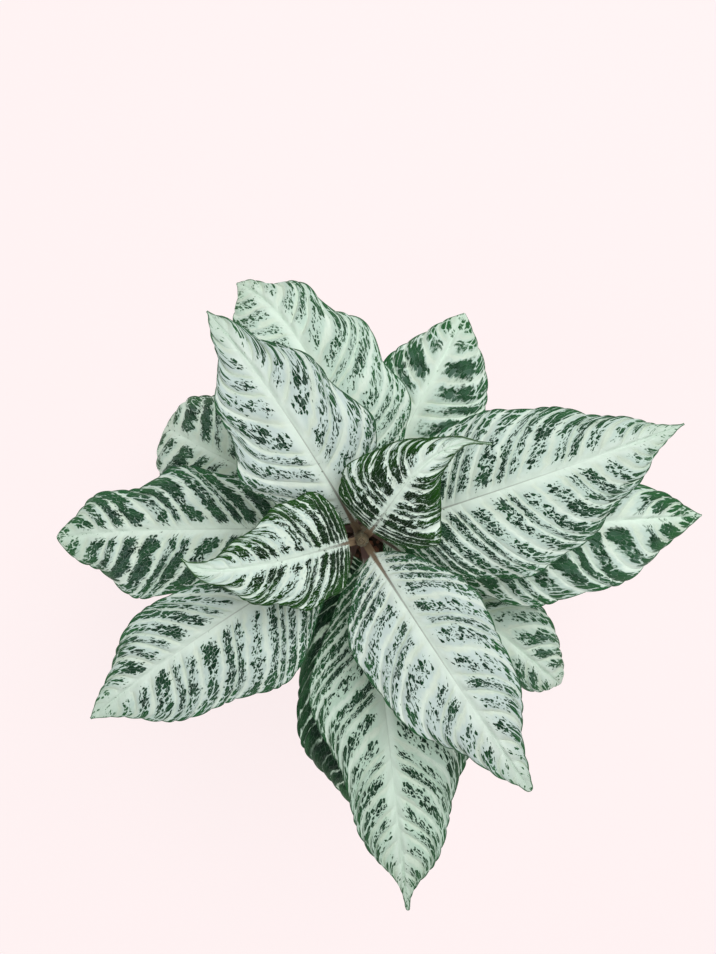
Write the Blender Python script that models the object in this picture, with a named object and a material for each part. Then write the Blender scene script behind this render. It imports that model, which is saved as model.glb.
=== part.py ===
"""A potted zebra plant: a clay pot, its soil, one upright stem and seven crossed pairs of leaves.

Metres, +Z up, with the origin at the centre of the pot's base. +Y is the direction called north
below and +X is east. Every leaf is one thin closed solid: a petiole that widens into a pointed blade.
"""

import math
from typing import NamedTuple

import bpy
import numpy as np

MM = 0.001
GAP = 0.3 * MM  # air between two pieces that touch

# The pot, which is turned clay
POT_HEIGHT = 105 * MM
POT_TOP_RADIUS = 58 * MM
POT_BASE_RADIUS = 40 * MM
POT_WALL = 4.5 * MM
POT_FLOOR = 7 * MM
POT_EDGE = 1.5 * MM  # the small round on each edge
RIM_HEIGHT = 20 * MM
RIM_STEP = 3 * MM  # how far the rim stands out from the body
POT_SIDES = 48
DRAIN_HOLES = 3
DRAIN_RADIUS = 4 * MM
DRAIN_CIRCLE = 20 * MM

# The soil and the hole that the stem stands in
SOIL_TOP = 94 * MM
SOIL_LUMPS = 1.8 * MM
SOIL_SIDES = 40
STEM_HOLE_DEPTH = 40 * MM
SOIL_SEED = 5

# The stem
STEM_FOOT_RADIUS = 6.0 * MM
STEM_TOP_RADIUS = 2.3 * MM
STEM_SIDES = 20
NODE_SWELL = 0.7 * MM  # how far the stem swells where a pair of leaves grows
NODE_BELOW = 4.2 * MM  # the swelling reaches this far below the petioles' upper side
NODE_ABOVE = 0.8 * MM
NODE_SHOULDER = 2.5 * MM  # over which it fades into the stem
BUD_HEIGHT = 9 * MM
BUD_RADIUS = 1.9 * MM
BUD_TIP_RADIUS = 0.9 * MM

# Height of each pair of leaves on the stem, from the youngest pair down to the oldest
PAIR_HEIGHTS = [260 * MM, 247 * MM, 232 * MM, 214 * MM, 194 * MM, 174 * MM, 154 * MM]

# What all leaves share
BLADE_THICKNESS = 0.8 * MM
RIB_HALF_WIDTH = 1.6 * MM  # of the midrib, at the stem
RIB_TIP_HALF_WIDTH = 0.5 * MM
RIB_DEPTH = 3.6 * MM
RIB_TIP_DEPTH = 0.9 * MM
PETIOLE_HALF_WIDTH = 1.8 * MM
TIP_HALF_WIDTH = 0.6 * MM
RIB_EDGE_SHARE = 0.35  # share of the rib's extra depth that is left at its edges
RIB_MOST_SHARE = 0.7  # the rib takes no more than this share of the half width
STATIONS = 22  # cells along the blade
HALF_CELLS = 3  # cells from the rib out to the margin
HOLD = 0.38  # how far the midrib's curve holds the direction of the petiole, in chords
CURVE_STEPS = 200  # for measuring along the midrib
WAVE_FADE = 0.2  # share of the blade over which its waves and its fold grow at either end


class Leaf(NamedTuple):
    """One leaf. Lengths are in millimetres and angles in degrees, turning left as seen from above.
    Left and right are those of someone who looks from the stem to the tip."""

    name: str
    pair: int  # 1 is the youngest pair
    azimuth: float  # from the stem's axis to the tip, 0 is east and 90 is north
    reach: float  # from the stem's axis to the tip, level
    tip: float  # height of the tip above the ground
    rise: float  # slope of the petiole where it leaves the stem
    dip: float  # slope of the midrib at the tip, negative where the tip hangs
    left: float  # half width of the blade's left side
    right: float
    start: float = 0  # direction in which the petiole leaves, against the azimuth
    end: float = 0  # direction in which the tip points, against the azimuth
    hook: float = 0.38  # how far the curve holds the direction of its tip, in chords
    widest: float = 0.40  # where the blade is widest, in shares of its length
    full: float = 0.62  # low is round at the shoulders, high is slim
    lean: float = 0  # how much further out the left half is widest, in shares
    petiole: float = 12
    fold: float = 0.22  # slope at which each half rises from the midrib
    droop: float = 0.34  # how much less the margin rises
    roll: float = 0  # the blade's tilt about its midrib, positive with its right side up
    waves: float = 3.5  # waves along each margin
    wave: float = 2.0  # height of those waves
    scallop: float = 0.6  # how far the crest of a wave stands out sideways
    left_turn: float = 0  # where the waves start, in turns
    right_turn: float = 0.4
    green: float = 0.33  # share of the upper face that isn't white


LEAVES = [
    Leaf("leaf_1_northeast", 1, 39, 67, 300, 62, 12, 25, 26.5, start=8, end=-52, widest=0.24,
         full=0.68, lean=0.04, petiole=5, fold=0.3, waves=4, wave=1.2, scallop=0.7,
         left_turn=0.88, right_turn=0.29, green=0.51),
    Leaf("leaf_1_west", 1, 184, 76, 288, 50, 5, 23, 26, start=5, end=-58, hook=0.2, widest=0.26,
         full=0.5, lean=0.03, petiole=4, fold=0.3, waves=3.7, wave=1.2, scallop=1.1,
         left_turn=0.96, right_turn=0.68, green=0.42),
    Leaf("leaf_2_northwest", 2, 124, 125, 266, 42, -20, 31.5, 30, start=-6, end=8, widest=0.35,
         full=0.67, lean=0.02, petiole=7, waves=3.3, scallop=2, right_turn=0.15, green=0.14),
    Leaf("leaf_2_southeast", 2, 304, 138, 262, 40, -22, 29.5, 33, widest=0.36, full=0.73,
         lean=0.01, petiole=7, waves=2.9, scallop=1, left_turn=0.38, right_turn=0.62, green=0.15),
    Leaf("leaf_3_east", 3, 19, 170, 232, 38, -22, 37, 43, start=2, widest=0.35, full=0.77,
         lean=-0.01, waves=4.8, left_turn=0.37, right_turn=0.5, green=0.26),
    Leaf("leaf_3_southwest", 3, 214, 161, 236, 34, -14, 41, 25, start=-6, end=6, widest=0.48,
         full=1, lean=-0.04, roll=4, waves=2.3, scallop=2.3, left_turn=0.46, right_turn=0.74,
         green=0.3),
    Leaf("leaf_4_south", 4, 277, 211, 195, 34, -28, 43, 34.5, start=2, widest=0.36, full=0.87,
         lean=0.01, roll=-6, waves=2.4, scallop=3, left_turn=0.34, right_turn=0.49, green=0.29),
    Leaf("leaf_4_north", 4, 117, 155, 185, 34, -50, 42.5, 35.5, start=-28, end=34, widest=0.38,
         full=0.68, lean=0.05, waves=4.3, scallop=2.5, left_turn=0.47, right_turn=0.05,
         green=0.12),
    Leaf("leaf_5_east", 5, 2, 197, 175, 28, -22, 37.5, 44, widest=0.42, full=0.78, lean=-0.04,
         roll=-4, waves=3, scallop=1.3, left_turn=0.59, right_turn=0.07, green=0.42),
    Leaf("leaf_5_west", 5, 182, 176, 175, 28, -22, 39, 32, start=-4, end=6, widest=0.44,
         full=0.57, lean=0.04, waves=3.1, scallop=3.2, left_turn=0.08, right_turn=0.71,
         green=0.45),
    Leaf("leaf_6_northeast", 6, 64, 140, 165, 24, -22, 32, 41, start=4, widest=0.41, waves=2.2,
         scallop=0.5, left_turn=0.92, right_turn=0.6, green=0.34),
    Leaf("leaf_6_southwest", 6, 270, 176, 150, 20, -30, 34, 29, start=-20, end=6, widest=0.44,
         full=0.65, lean=-0.1, roll=-12, waves=2, scallop=2.2, left_turn=0.29, right_turn=0.92,
         green=0.7),
    Leaf("leaf_7_northwest", 7, 154, 144, 112, 18, -70, 42, 40, widest=0.5, full=0.63, lean=0.04,
         waves=3.4, scallop=0.8, left_turn=0.98, right_turn=0.25, green=0.35),
    Leaf("leaf_7_southeast", 7, 321, 168, 122, 16, -60, 30, 28, start=6, widest=0.41, full=0.68,
         lean=0.02, waves=2.1, right_turn=0.5, green=0.32),
]

# Colour and roughness of the materials
TERRACOTTA = ((0.55, 0.25, 0.15), 0.85)
SOIL_BROWN = ((0.06, 0.03, 0.02), 0.95)
STEM_BROWN = ((0.16, 0.12, 0.07), 0.55)
LEAF_WHITE = (0.62, 0.74, 0.66)
LEAF_GREEN = (0.03, 0.10, 0.04)
LEAF_ROUGHNESS = 0.42


def clear_scene():
    for obj in list(bpy.data.objects):
        bpy.data.objects.remove(obj)


def material(name, look):
    colour, roughness = look
    made = bpy.data.materials.new(name)
    made.use_nodes = True
    shader = made.node_tree.nodes["Principled BSDF"]
    shader.inputs["Base Color"].default_value = (*colour, 1)
    shader.inputs["Roughness"].default_value = roughness
    shader.inputs["Metallic"].default_value = 0
    return made


def add_object(name, points, faces, look):
    mesh = bpy.data.meshes.new(name)
    mesh.from_pydata([tuple(p) for p in points], [], [tuple(f) for f in faces])
    mesh.materials.append(look)
    obj = bpy.data.objects.new(name, mesh)
    bpy.context.scene.collection.objects.link(obj)
    mesh.shade_smooth()
    mesh.set_sharp_from_angle(angle=math.radians(50))
    return obj


def smooth_step(value):
    value = np.clip(value, 0, 1)
    return value * value * (3 - 2 * value)


def turned(profile, sides):
    """A profile of (radius, height) pairs turned round the Z axis. It starts and ends on the axis
    and has the material on its left. Returns points and faces."""
    angles = [2 * math.pi * k / sides for k in range(sides)]
    points, rings = [], []
    for radius, height in profile:
        if radius == 0:
            rings.append([len(points)] * sides)
            points.append((0, 0, height))
            continue
        rings.append(list(range(len(points), len(points) + sides)))
        points += [(radius * math.cos(a), radius * math.sin(a), height) for a in angles]
    faces = []
    for lower, upper in zip(rings, rings[1:]):
        for k in range(sides):
            j = (k + 1) % sides
            corners = [lower[k], lower[j], upper[j], upper[k]]
            face = list(dict.fromkeys(corners))
            if len(face) > 2:
                faces.append(face)
    return points, faces


def pot_radius(height):
    """Outer radius of the pot's tapered body at a height."""
    top = POT_TOP_RADIUS - RIM_STEP
    return POT_BASE_RADIUS + (top - POT_BASE_RADIUS) * height / POT_HEIGHT


def make_pot():
    rim_foot = POT_HEIGHT - RIM_HEIGHT
    outside = [
        (0, 0),
        (POT_BASE_RADIUS - POT_EDGE, 0),
        (POT_BASE_RADIUS, POT_EDGE),
        (pot_radius(rim_foot), rim_foot),
        (POT_TOP_RADIUS - POT_EDGE, rim_foot + POT_EDGE / 2),
        (POT_TOP_RADIUS, rim_foot + POT_EDGE * 1.5),
        (POT_TOP_RADIUS, POT_HEIGHT - POT_EDGE),
        (POT_TOP_RADIUS - POT_EDGE, POT_HEIGHT),
    ]
    inside = [
        (pot_radius(POT_HEIGHT) - POT_WALL + POT_EDGE, POT_HEIGHT),
        (pot_radius(POT_HEIGHT) - POT_WALL, POT_HEIGHT - POT_EDGE),
        (pot_radius(POT_FLOOR) - POT_WALL, POT_FLOOR),
        (0, POT_FLOOR),
    ]
    points, faces = turned(outside + inside, POT_SIDES)
    pot = add_object("pot", points, faces, material("terracotta", TERRACOTTA))
    for k in range(DRAIN_HOLES):
        angle = 2 * math.pi * k / DRAIN_HOLES
        x, y = DRAIN_CIRCLE * math.cos(angle), DRAIN_CIRCLE * math.sin(angle)
        bpy.ops.mesh.primitive_cylinder_add(
            vertices=16, radius=DRAIN_RADIUS, depth=4 * POT_FLOOR, location=(x, y, 0)
        )
        cutter = bpy.context.object
        cutter.name = f"drain_cutter_{k + 1}"
        cutter.hide_render = True
        cutter.display_type = "WIRE"
        cut = pot.modifiers.new(f"drain_{k + 1}", "BOOLEAN")
        cut.object = cutter
        cut.operation = "DIFFERENCE"


def make_soil():
    """The soil fills the pot. Its top is lumpy, higher at the stem and lower at the pot's wall."""
    random = np.random.default_rng(SOIL_SEED)
    hole = STEM_FOOT_RADIUS + GAP
    inner_wall = -POT_WALL - GAP
    edge = pot_radius(SOIL_TOP) + inner_wall
    floor = POT_FLOOR + GAP
    mounds = [(edge, 0.0), (0.8 * edge, 1.5 * MM), (0.6 * edge, 2.5 * MM)]
    mounds += [(0.4 * edge, 3.0 * MM), (0.24 * edge, 3.4 * MM)]
    profile = [(0, floor), (pot_radius(floor) + inner_wall, floor)]
    profile += [(radius, SOIL_TOP + rise) for radius, rise in mounds]
    profile += [(hole, SOIL_TOP + 3.4 * MM), (hole, SOIL_TOP - STEM_HOLE_DEPTH)]
    profile += [(0, SOIL_TOP - STEM_HOLE_DEPTH)]
    points, faces = turned(profile, SOIL_SIDES)
    lumpy = []
    for x, y, z in points:
        on_top = z >= SOIL_TOP and math.hypot(x, y) > hole + MM
        lumpy.append((x, y, z + random.uniform(-SOIL_LUMPS, SOIL_LUMPS) * on_top))
    add_object("soil", lumpy, faces, material("soil", SOIL_BROWN))


def stem_radius(height):
    """Radius of the stem between two nodes: it tapers from the soil up to the youngest leaves."""
    share = (height - SOIL_TOP) / (PAIR_HEIGHTS[0] - SOIL_TOP)
    return STEM_FOOT_RADIUS + (STEM_TOP_RADIUS - STEM_FOOT_RADIUS) * min(max(share, 0), 1)


def node_radius(height):
    return stem_radius(height) + NODE_SWELL


def make_stem():
    foot = SOIL_TOP - STEM_HOLE_DEPTH + GAP
    profile = [(0, foot), (STEM_FOOT_RADIUS, foot)]
    for height in reversed(PAIR_HEIGHTS):
        lower, upper = height - NODE_BELOW, height + NODE_ABOVE
        if lower - NODE_SHOULDER > profile[-1][1]:
            profile.append((stem_radius(lower - NODE_SHOULDER), lower - NODE_SHOULDER))
        profile += [(node_radius(height), lower), (node_radius(height), upper)]
        profile.append((stem_radius(upper + NODE_SHOULDER), upper + NODE_SHOULDER))
    top = PAIR_HEIGHTS[0]
    profile += [(BUD_RADIUS, top + 0.7 * BUD_HEIGHT), (BUD_TIP_RADIUS, top + BUD_HEIGHT)]
    profile += [(0, top + BUD_HEIGHT + 0.5 * MM)]
    points, faces = turned(profile, STEM_SIDES)
    add_object("stem", points, faces, material("stem", STEM_BROWN))


def direction(azimuth, slope):
    """Unit vector that points at an azimuth and climbs at a slope, both in degrees."""
    a, s = math.radians(azimuth), math.radians(slope)
    return np.array([math.cos(a) * math.cos(s), math.sin(a) * math.cos(s), math.sin(s)])


def bezier(control, t):
    """Points and unit tangents of a cubic curve at the parameters t."""
    t = t[:, None]
    points = np.hstack([(1 - t) ** 3, 3 * t * (1 - t) ** 2, 3 * t * t * (1 - t), t**3]) @ control
    slopes = np.hstack([(1 - t) ** 2, 2 * t * (1 - t), t * t]) @ np.diff(control, axis=0)
    return points, slopes / np.linalg.norm(slopes, axis=1, keepdims=True)


def midrib_controls(leaf):
    """The midrib's four control points, from the stem's node to the tip."""
    height = PAIR_HEIGHTS[leaf.pair - 1]
    root = direction(leaf.azimuth + leaf.start, 0) * (node_radius(height) + GAP)
    root[2] = height
    tip = direction(leaf.azimuth, 0) * leaf.reach * MM
    tip[2] = leaf.tip * MM
    chord = np.linalg.norm(tip - root)
    after_root = root + direction(leaf.azimuth + leaf.start, leaf.rise) * HOLD * chord
    before_tip = tip - direction(leaf.azimuth + leaf.end, leaf.dip) * leaf.hook * chord
    return np.array([root, after_root, before_tip, tip])


def ripple(leaf, b, side):
    """Waves of the margin, between -1 and 1, which die out at both ends of the blade."""
    turn = leaf.left_turn if side < 0 else leaf.right_turn
    fade = smooth_step(b / WAVE_FADE) * smooth_step((1 - b) / WAVE_FADE)
    return np.sin(2 * np.pi * (leaf.waves * b + turn)) * fade


def blade_half_width(leaf, b, side):
    """Half width of the blade at share b of its length: b to the power leaf.full, times (1 - b) to
    the power that puts the widest place at leaf.widest, scaled to the side's own half width."""
    most = (leaf.left if side < 0 else leaf.right) * MM
    stalk = TIP_HALF_WIDTH + (PETIOLE_HALF_WIDTH - TIP_HALF_WIDTH) * (1 - smooth_step(2 * b))
    leant = b + side * leaf.lean * 4 * b * (1 - b)
    before, after = leaf.full, leaf.full * (1 - leaf.widest) / leaf.widest
    shape = (leant / leaf.widest) ** before * ((1 - leant) / (1 - leaf.widest)) ** after
    return np.hypot(most * shape, stalk) + leaf.scallop * MM * ripple(leaf, b, side)


def half_blade(leaf, rib, b, offsets, width, side):
    """One half of the upper surface, at offsets from the midrib: one row for each cross-section.
    It rises from the midrib by leaf.fold, less by leaf.droop towards the margin, which waves."""
    points, tangents = rib
    across = np.cross(tangents, [0, 0, 1])
    across /= np.linalg.norm(across, axis=1, keepdims=True)
    up = np.cross(across, tangents)
    b, width = b[:, None], width[:, None]
    roll = np.radians(leaf.roll * smooth_step(2 * b))
    outwards = side * (across * np.cos(roll) + up * np.sin(roll))
    upwards = up * np.cos(roll) - across * np.sin(roll)
    share = offsets / width
    slope = (leaf.fold - leaf.droop * share) * smooth_step(b / WAVE_FADE)
    rise = offsets * slope + leaf.wave * MM * ripple(leaf, b, side) * share**2
    level = offsets / np.sqrt(1 + slope**2)
    return points[:, None] + outwards[:, None] * level[..., None] + upwards[:, None] * rise[..., None]


def leaf_sections(leaf):
    """The upper and the lower grid of a leaf, as arrays of cross-sections from the stem to the tip."""
    controls = midrib_controls(leaf)
    t = np.linspace(0, 1, CURVE_STEPS + 1)
    steps = np.linalg.norm(np.diff(bezier(controls, t)[0], axis=0), axis=1)
    run = np.concatenate([[0], np.cumsum(steps)]) / steps.sum()
    petiole = leaf.petiole * MM / steps.sum()
    blade = np.linspace(petiole, 1, STATIONS + 1)
    shares = np.concatenate([[0, petiole / 2], blade])
    rib = bezier(controls, np.interp(shares, run, t))
    b = np.clip((shares - petiole) / (1 - petiole), 0, 1)

    taper = smooth_step(shares)
    rib_half_width = RIB_HALF_WIDTH + (RIB_TIP_HALF_WIDTH - RIB_HALF_WIDTH) * taper
    depth = RIB_DEPTH + (RIB_TIP_DEPTH - RIB_DEPTH) * taper
    tops, depths = [], []
    for side in (-1, 1):
        width = blade_half_width(leaf, b, side)
        inner = np.minimum(rib_half_width, RIB_MOST_SHARE * width)
        offsets = inner[:, None] + (width - inner)[:, None] * np.linspace(0, 1, HALF_CELLS + 1)
        tops.append(half_blade(leaf, rib, b, offsets, width, side))
        thick = np.full(offsets.shape, BLADE_THICKNESS)
        thick[:, 0] += RIB_EDGE_SHARE * (depth - BLADE_THICKNESS)
        depths.append(thick)
    top = np.concatenate([tops[0][:, ::-1], rib[0][:, None], tops[1]], axis=1)
    thickness = np.concatenate([depths[0][:, ::-1], depth[:, None], depths[1]], axis=1)
    normal = np.cross(np.gradient(top, axis=1), np.gradient(top, axis=0))
    normal /= np.linalg.norm(normal, axis=2, keepdims=True)
    bottom = top - normal * thickness[..., None]
    return seat_on_stem(leaf, top), seat_on_stem(leaf, bottom)


def seat_on_stem(leaf, grid):
    """Moves the first cross-section level, along the petiole, until it lies round the stem."""
    radius = node_radius(PAIR_HEIGHTS[leaf.pair - 1]) + GAP
    out = direction(leaf.azimuth + leaf.start, 0)
    side = np.array([-out[1], out[0], 0])
    lateral = grid[0] @ side
    seat = np.sqrt(radius**2 - lateral**2)
    grid[0] = out * seat[:, None] + side * lateral[:, None] + np.outer(grid[0][:, 2], [0, 0, 1])
    return grid


def leaf_look(leaf):
    """The mean colour of the leaf's white and green markings, and its roughness."""
    mean = [w + (g - w) * leaf.green for w, g in zip(LEAF_WHITE, LEAF_GREEN)]
    return tuple(mean), LEAF_ROUGHNESS


def make_leaf(leaf):
    """Joins both grids round the margin into one closed solid. Both faces are cut into the same
    triangles, with their long edges leaning out from the midrib to the tip."""
    top, bottom = leaf_sections(leaf)
    rows, columns = top.shape[:2]
    upper = np.arange(rows * columns).reshape(rows, columns)
    lower = upper + rows * columns
    faces = []
    for i in range(rows - 1):
        for k in range(columns - 1):
            a, b, c, d = upper[i, k], upper[i, k + 1], upper[i + 1, k + 1], upper[i + 1, k]
            e, f, g, h = lower[i, k], lower[i, k + 1], lower[i + 1, k + 1], lower[i + 1, k]
            if k < columns // 2:
                faces += [(a, b, d), (b, c, d), (e, h, f), (f, h, g)]
            else:
                faces += [(a, b, c), (a, c, d), (e, g, f), (e, h, g)]
        faces += [(upper[i, 0], upper[i + 1, 0], lower[i + 1, 0], lower[i, 0])]
        faces += [(upper[i, -1], lower[i, -1], lower[i + 1, -1], upper[i + 1, -1])]
    for k in range(columns - 1):
        faces += [(upper[0, k], lower[0, k], lower[0, k + 1], upper[0, k + 1])]
        faces += [(upper[-1, k], upper[-1, k + 1], lower[-1, k + 1], lower[-1, k])]
    points = np.concatenate([top.reshape(-1, 3), bottom.reshape(-1, 3)])
    faces = [tuple(map(int, face)) for face in faces]
    add_object(leaf.name, points.tolist(), faces, material(leaf.name, leaf_look(leaf)))


def main():
    clear_scene()
    make_pot()
    make_soil()
    make_stem()
    for leaf in LEAVES:
        make_leaf(leaf)


main()
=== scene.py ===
"""A zebra plant in a clay pot, dressed for a picture: striped leaves with sunken veins, a woody
stem with its bud, potting soil with bark, the clay pot, and a pale stage with soft light.

Metres, +Z up. The origin is at the centre of the pot's base, +Y is called north and +X east.
"""

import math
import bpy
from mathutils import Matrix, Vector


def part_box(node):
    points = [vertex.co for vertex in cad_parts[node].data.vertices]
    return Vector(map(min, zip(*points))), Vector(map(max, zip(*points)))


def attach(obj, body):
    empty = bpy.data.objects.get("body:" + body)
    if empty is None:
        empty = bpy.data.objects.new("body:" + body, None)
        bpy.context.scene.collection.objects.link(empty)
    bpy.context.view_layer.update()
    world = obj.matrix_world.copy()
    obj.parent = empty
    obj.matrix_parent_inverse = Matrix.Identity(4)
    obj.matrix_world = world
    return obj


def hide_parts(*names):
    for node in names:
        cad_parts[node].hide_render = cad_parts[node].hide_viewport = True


bl_info = {
    "name": "Potted Zebra Plant",
    "version": (1, 0, 0),
    "blender": (4, 5, 0),
    "location": "3D View > Sidebar > Zebra Plant",
    "description": "Striped leaves, stem, soil, clay pot and stage of a potted zebra plant",
    "category": "Add Mesh",
}

from typing import NamedTuple

import bpy
import numpy as np

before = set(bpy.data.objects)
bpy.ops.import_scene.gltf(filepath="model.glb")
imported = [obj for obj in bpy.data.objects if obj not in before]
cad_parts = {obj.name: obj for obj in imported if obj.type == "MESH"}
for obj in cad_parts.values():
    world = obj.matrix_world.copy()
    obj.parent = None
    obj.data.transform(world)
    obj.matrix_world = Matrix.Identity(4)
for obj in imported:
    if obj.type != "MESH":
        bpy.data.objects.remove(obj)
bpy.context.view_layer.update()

POT_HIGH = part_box("pot")[1]
SOIL_LOW, SOIL_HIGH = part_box("soil")
STEM_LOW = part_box("stem")[0]
BODY = "root"

MM = 0.001
GAP = 0.3 * MM  # air between two pieces that touch

# The stem, as it was built
SOIL_TOP = 94 * MM
STEM_FOOT_RADIUS = 6.0 * MM
STEM_TOP_RADIUS = 2.3 * MM
NODE_SWELL = 0.7 * MM  # how far the stem stands out at a pair of leaves
NODE_BELOW = 4.2 * MM  # how far below the leaves it still stands out in full
NODE_ABOVE = 0.8 * MM  # and how far above them
NODE_SHOULDER = 2.5 * MM  # height over which it swells and thins again
BUD_HEIGHT = 9 * MM
STEM_DOME = 2.5 * MM  # height of the stem's round top

# The pot and the soil in it, as they were built
POT_BASE_RADIUS = 40 * MM
SOIL_FOOT_RADIUS = 36.2 * MM
SOIL_MOUND = 3.2 * MM  # how far the soil rises from the pot's wall to the stem
DRAIN_CIRCLE = 20 * MM  # from the pot's axis to the middle of each drain hole

# Height of each pair of leaves on the stem, from the youngest pair down to the oldest
PAIR_HEIGHTS = [260 * MM, 247 * MM, 232 * MM, 214 * MM, 194 * MM, 174 * MM, 154 * MM]

# What all leaves share
RIB_HALF_WIDTH = 1.6 * MM
RIB_TIP_HALF_WIDTH = 0.5 * MM
RIB_DEPTH = 3.6 * MM
RIB_TIP_DEPTH = 0.9 * MM
PETIOLE_HALF_WIDTH = 1.8 * MM
TIP_HALF_WIDTH = 0.6 * MM
GROOVE_HALF_WIDTH = 1.0 * MM
HOLD = 0.38  # how far the midrib's curve holds the direction of the petiole, in chords
CURVE_STEPS = 200  # for measuring along the midrib
WAVE_FADE = 0.2  # share of the blade over which its waves and its fold grow at either end
RELIEF_BASE = 0.1  # share of the blade over which its relief grows from the base
RELIEF_TIP = 0.3  # share of the blade over which its relief fades to the tip
RELIEF_MIDRIB = 0.14  # share of the half width over which the relief grows from the midrib
RELIEF_MARGIN = 0.7  # share of the half width from which it weakens towards the margin
VEIN_WIDTH = 0.25  # of the ridge under a vein, against the sine that is 1 between two veins
PETIOLE_RUN_OUT = 0.04  # share of the blade in which the petiole's keel becomes the midrib's
BLUNT_START = 0.8  # share of the blade at which a rounded tip starts to fill out
BLUNT_GROWTH = 0.15  # share of the blade over which it fills out
BLUNT_END = 0.02  # share of the blade that its round end takes

# How the veins run. A vein that leaves the midrib at share m of the blade meets the margin at
# share m + leaf.sweep * m ** SWEEP_START * (1 - m).
SWEEP_START = 0.6
CROWDING = 0.6  # under 1 the veins stand closer at the leaf's base than at its tip
STRAY = 0.25  # how far a vein strays from its even place, in vein spacings
STRAY_PACE = 1.9  # how fast that changes from vein to vein, in radians
ROWS_PER_VEIN = 8
PETIOLE_ROWS = 5
HALF_COLUMNS = 26
COLUMN_CROWDING = 1.2  # over 1 the columns stand closer at the midrib

# The bud's scales, two of each: turn in degrees, length and half width in millimetres, lean as a
# share of the length, and distance of the foot from the axis in millimetres
BUD_SCALES = [(-38, 7.0, 1.35, 0.1, 0.7), (52, 5.4, 1.1, 0.08, 0.4), (10, 4.2, 0.8, 0.06, 0.15)]
SCALE_RISE = 0.8 * MM  # from the foot of one pair of scales to the next
SCALE_WRAP = 1.15  # half the angle that a scale wraps at its foot, in radians
SCALE_THICKNESS = 0.45 * MM

# Light and paper
LIT_POINT = (0, 0, 0.2)
LIGHT_SIZE = 0.9
LIGHTS = {  # place, and share of the key light's power
    "overhead_light": ((0.4, 0.5, 1.4), 1),
    "side_light": ((-0.8, -0.6, 1.2), 0.25),
}
FLOOR_RINGS = [0, 0.2, 0.6, 2, 8, 30]  # radii, from the middle to the far edge
PAPER_GLOW = 0.86  # strength of the light that the paper gives off itself
PAPER_SHADE = 0.16  # share of the paper's colour that takes the light and the shadows


class Leaf(NamedTuple):
    """One leaf. Lengths are in millimetres and angles in degrees, turning left as seen from above.
    Left and right are those of someone who looks from the stem to the tip."""

    name: str
    pair: int  # 1 is the youngest pair
    azimuth: float  # from the stem's axis to the tip, 0 is east and 90 is north
    reach: float  # from the stem's axis to the tip, level
    tip: float  # height of the tip above the ground
    rise: float  # slope of the petiole where it leaves the stem
    dip: float  # slope of the midrib at the tip, negative where the tip hangs
    left: float  # half width of the blade's left side
    right: float
    start: float = 0  # direction in which the petiole leaves, against the azimuth
    end: float = 0  # direction in which the tip points, against the azimuth
    hook: float = 0.38  # how far the curve holds the direction of its tip, in chords
    widest: float = 0.40  # where the blade is widest, in shares of its length
    full: float = 0.62  # low is round at the shoulders, high is slim
    lean: float = 0  # how much further out the left half is widest, in shares
    blunt: float = 0  # half width of a rounded tip
    petiole: float = 12
    fold: float = 0.22  # slope at which each half rises from the midrib
    droop: float = 0.34  # how much less the margin rises
    roll: float = 0  # the blade's tilt about its midrib, positive with its right side up
    waves: float = 3.5  # waves along each margin
    wave: float = 2.0  # height of those waves
    scallop: float = 0.6  # how far the crest of a wave stands out sideways
    left_turn: float = 0  # where the waves start, in turns
    right_turn: float = 0.4
    sweep: float = 0.6  # how far forward the veins run, see swept
    veins: int = 17  # lateral veins on each side
    green: float = 0.33  # share of the blade that is marked green
    solid: float = 0.5  # 0 has flecks, 1 has whole stripes
    fresh: float = 0  # 1 has the deep green and clean white of a young leaf
    mint: float = 0.5  # 0 has silver between the veins, 1 pale green
    film: float = 0.1  # greyness of the markings
    tone: float = 1.0  # brightness of the white, partly the leaf's own and partly painted light


# The tones are partly painted light: the whites of leaves that lie in shade are lightened, and
# those of the well-lit second pair darkened.
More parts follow.
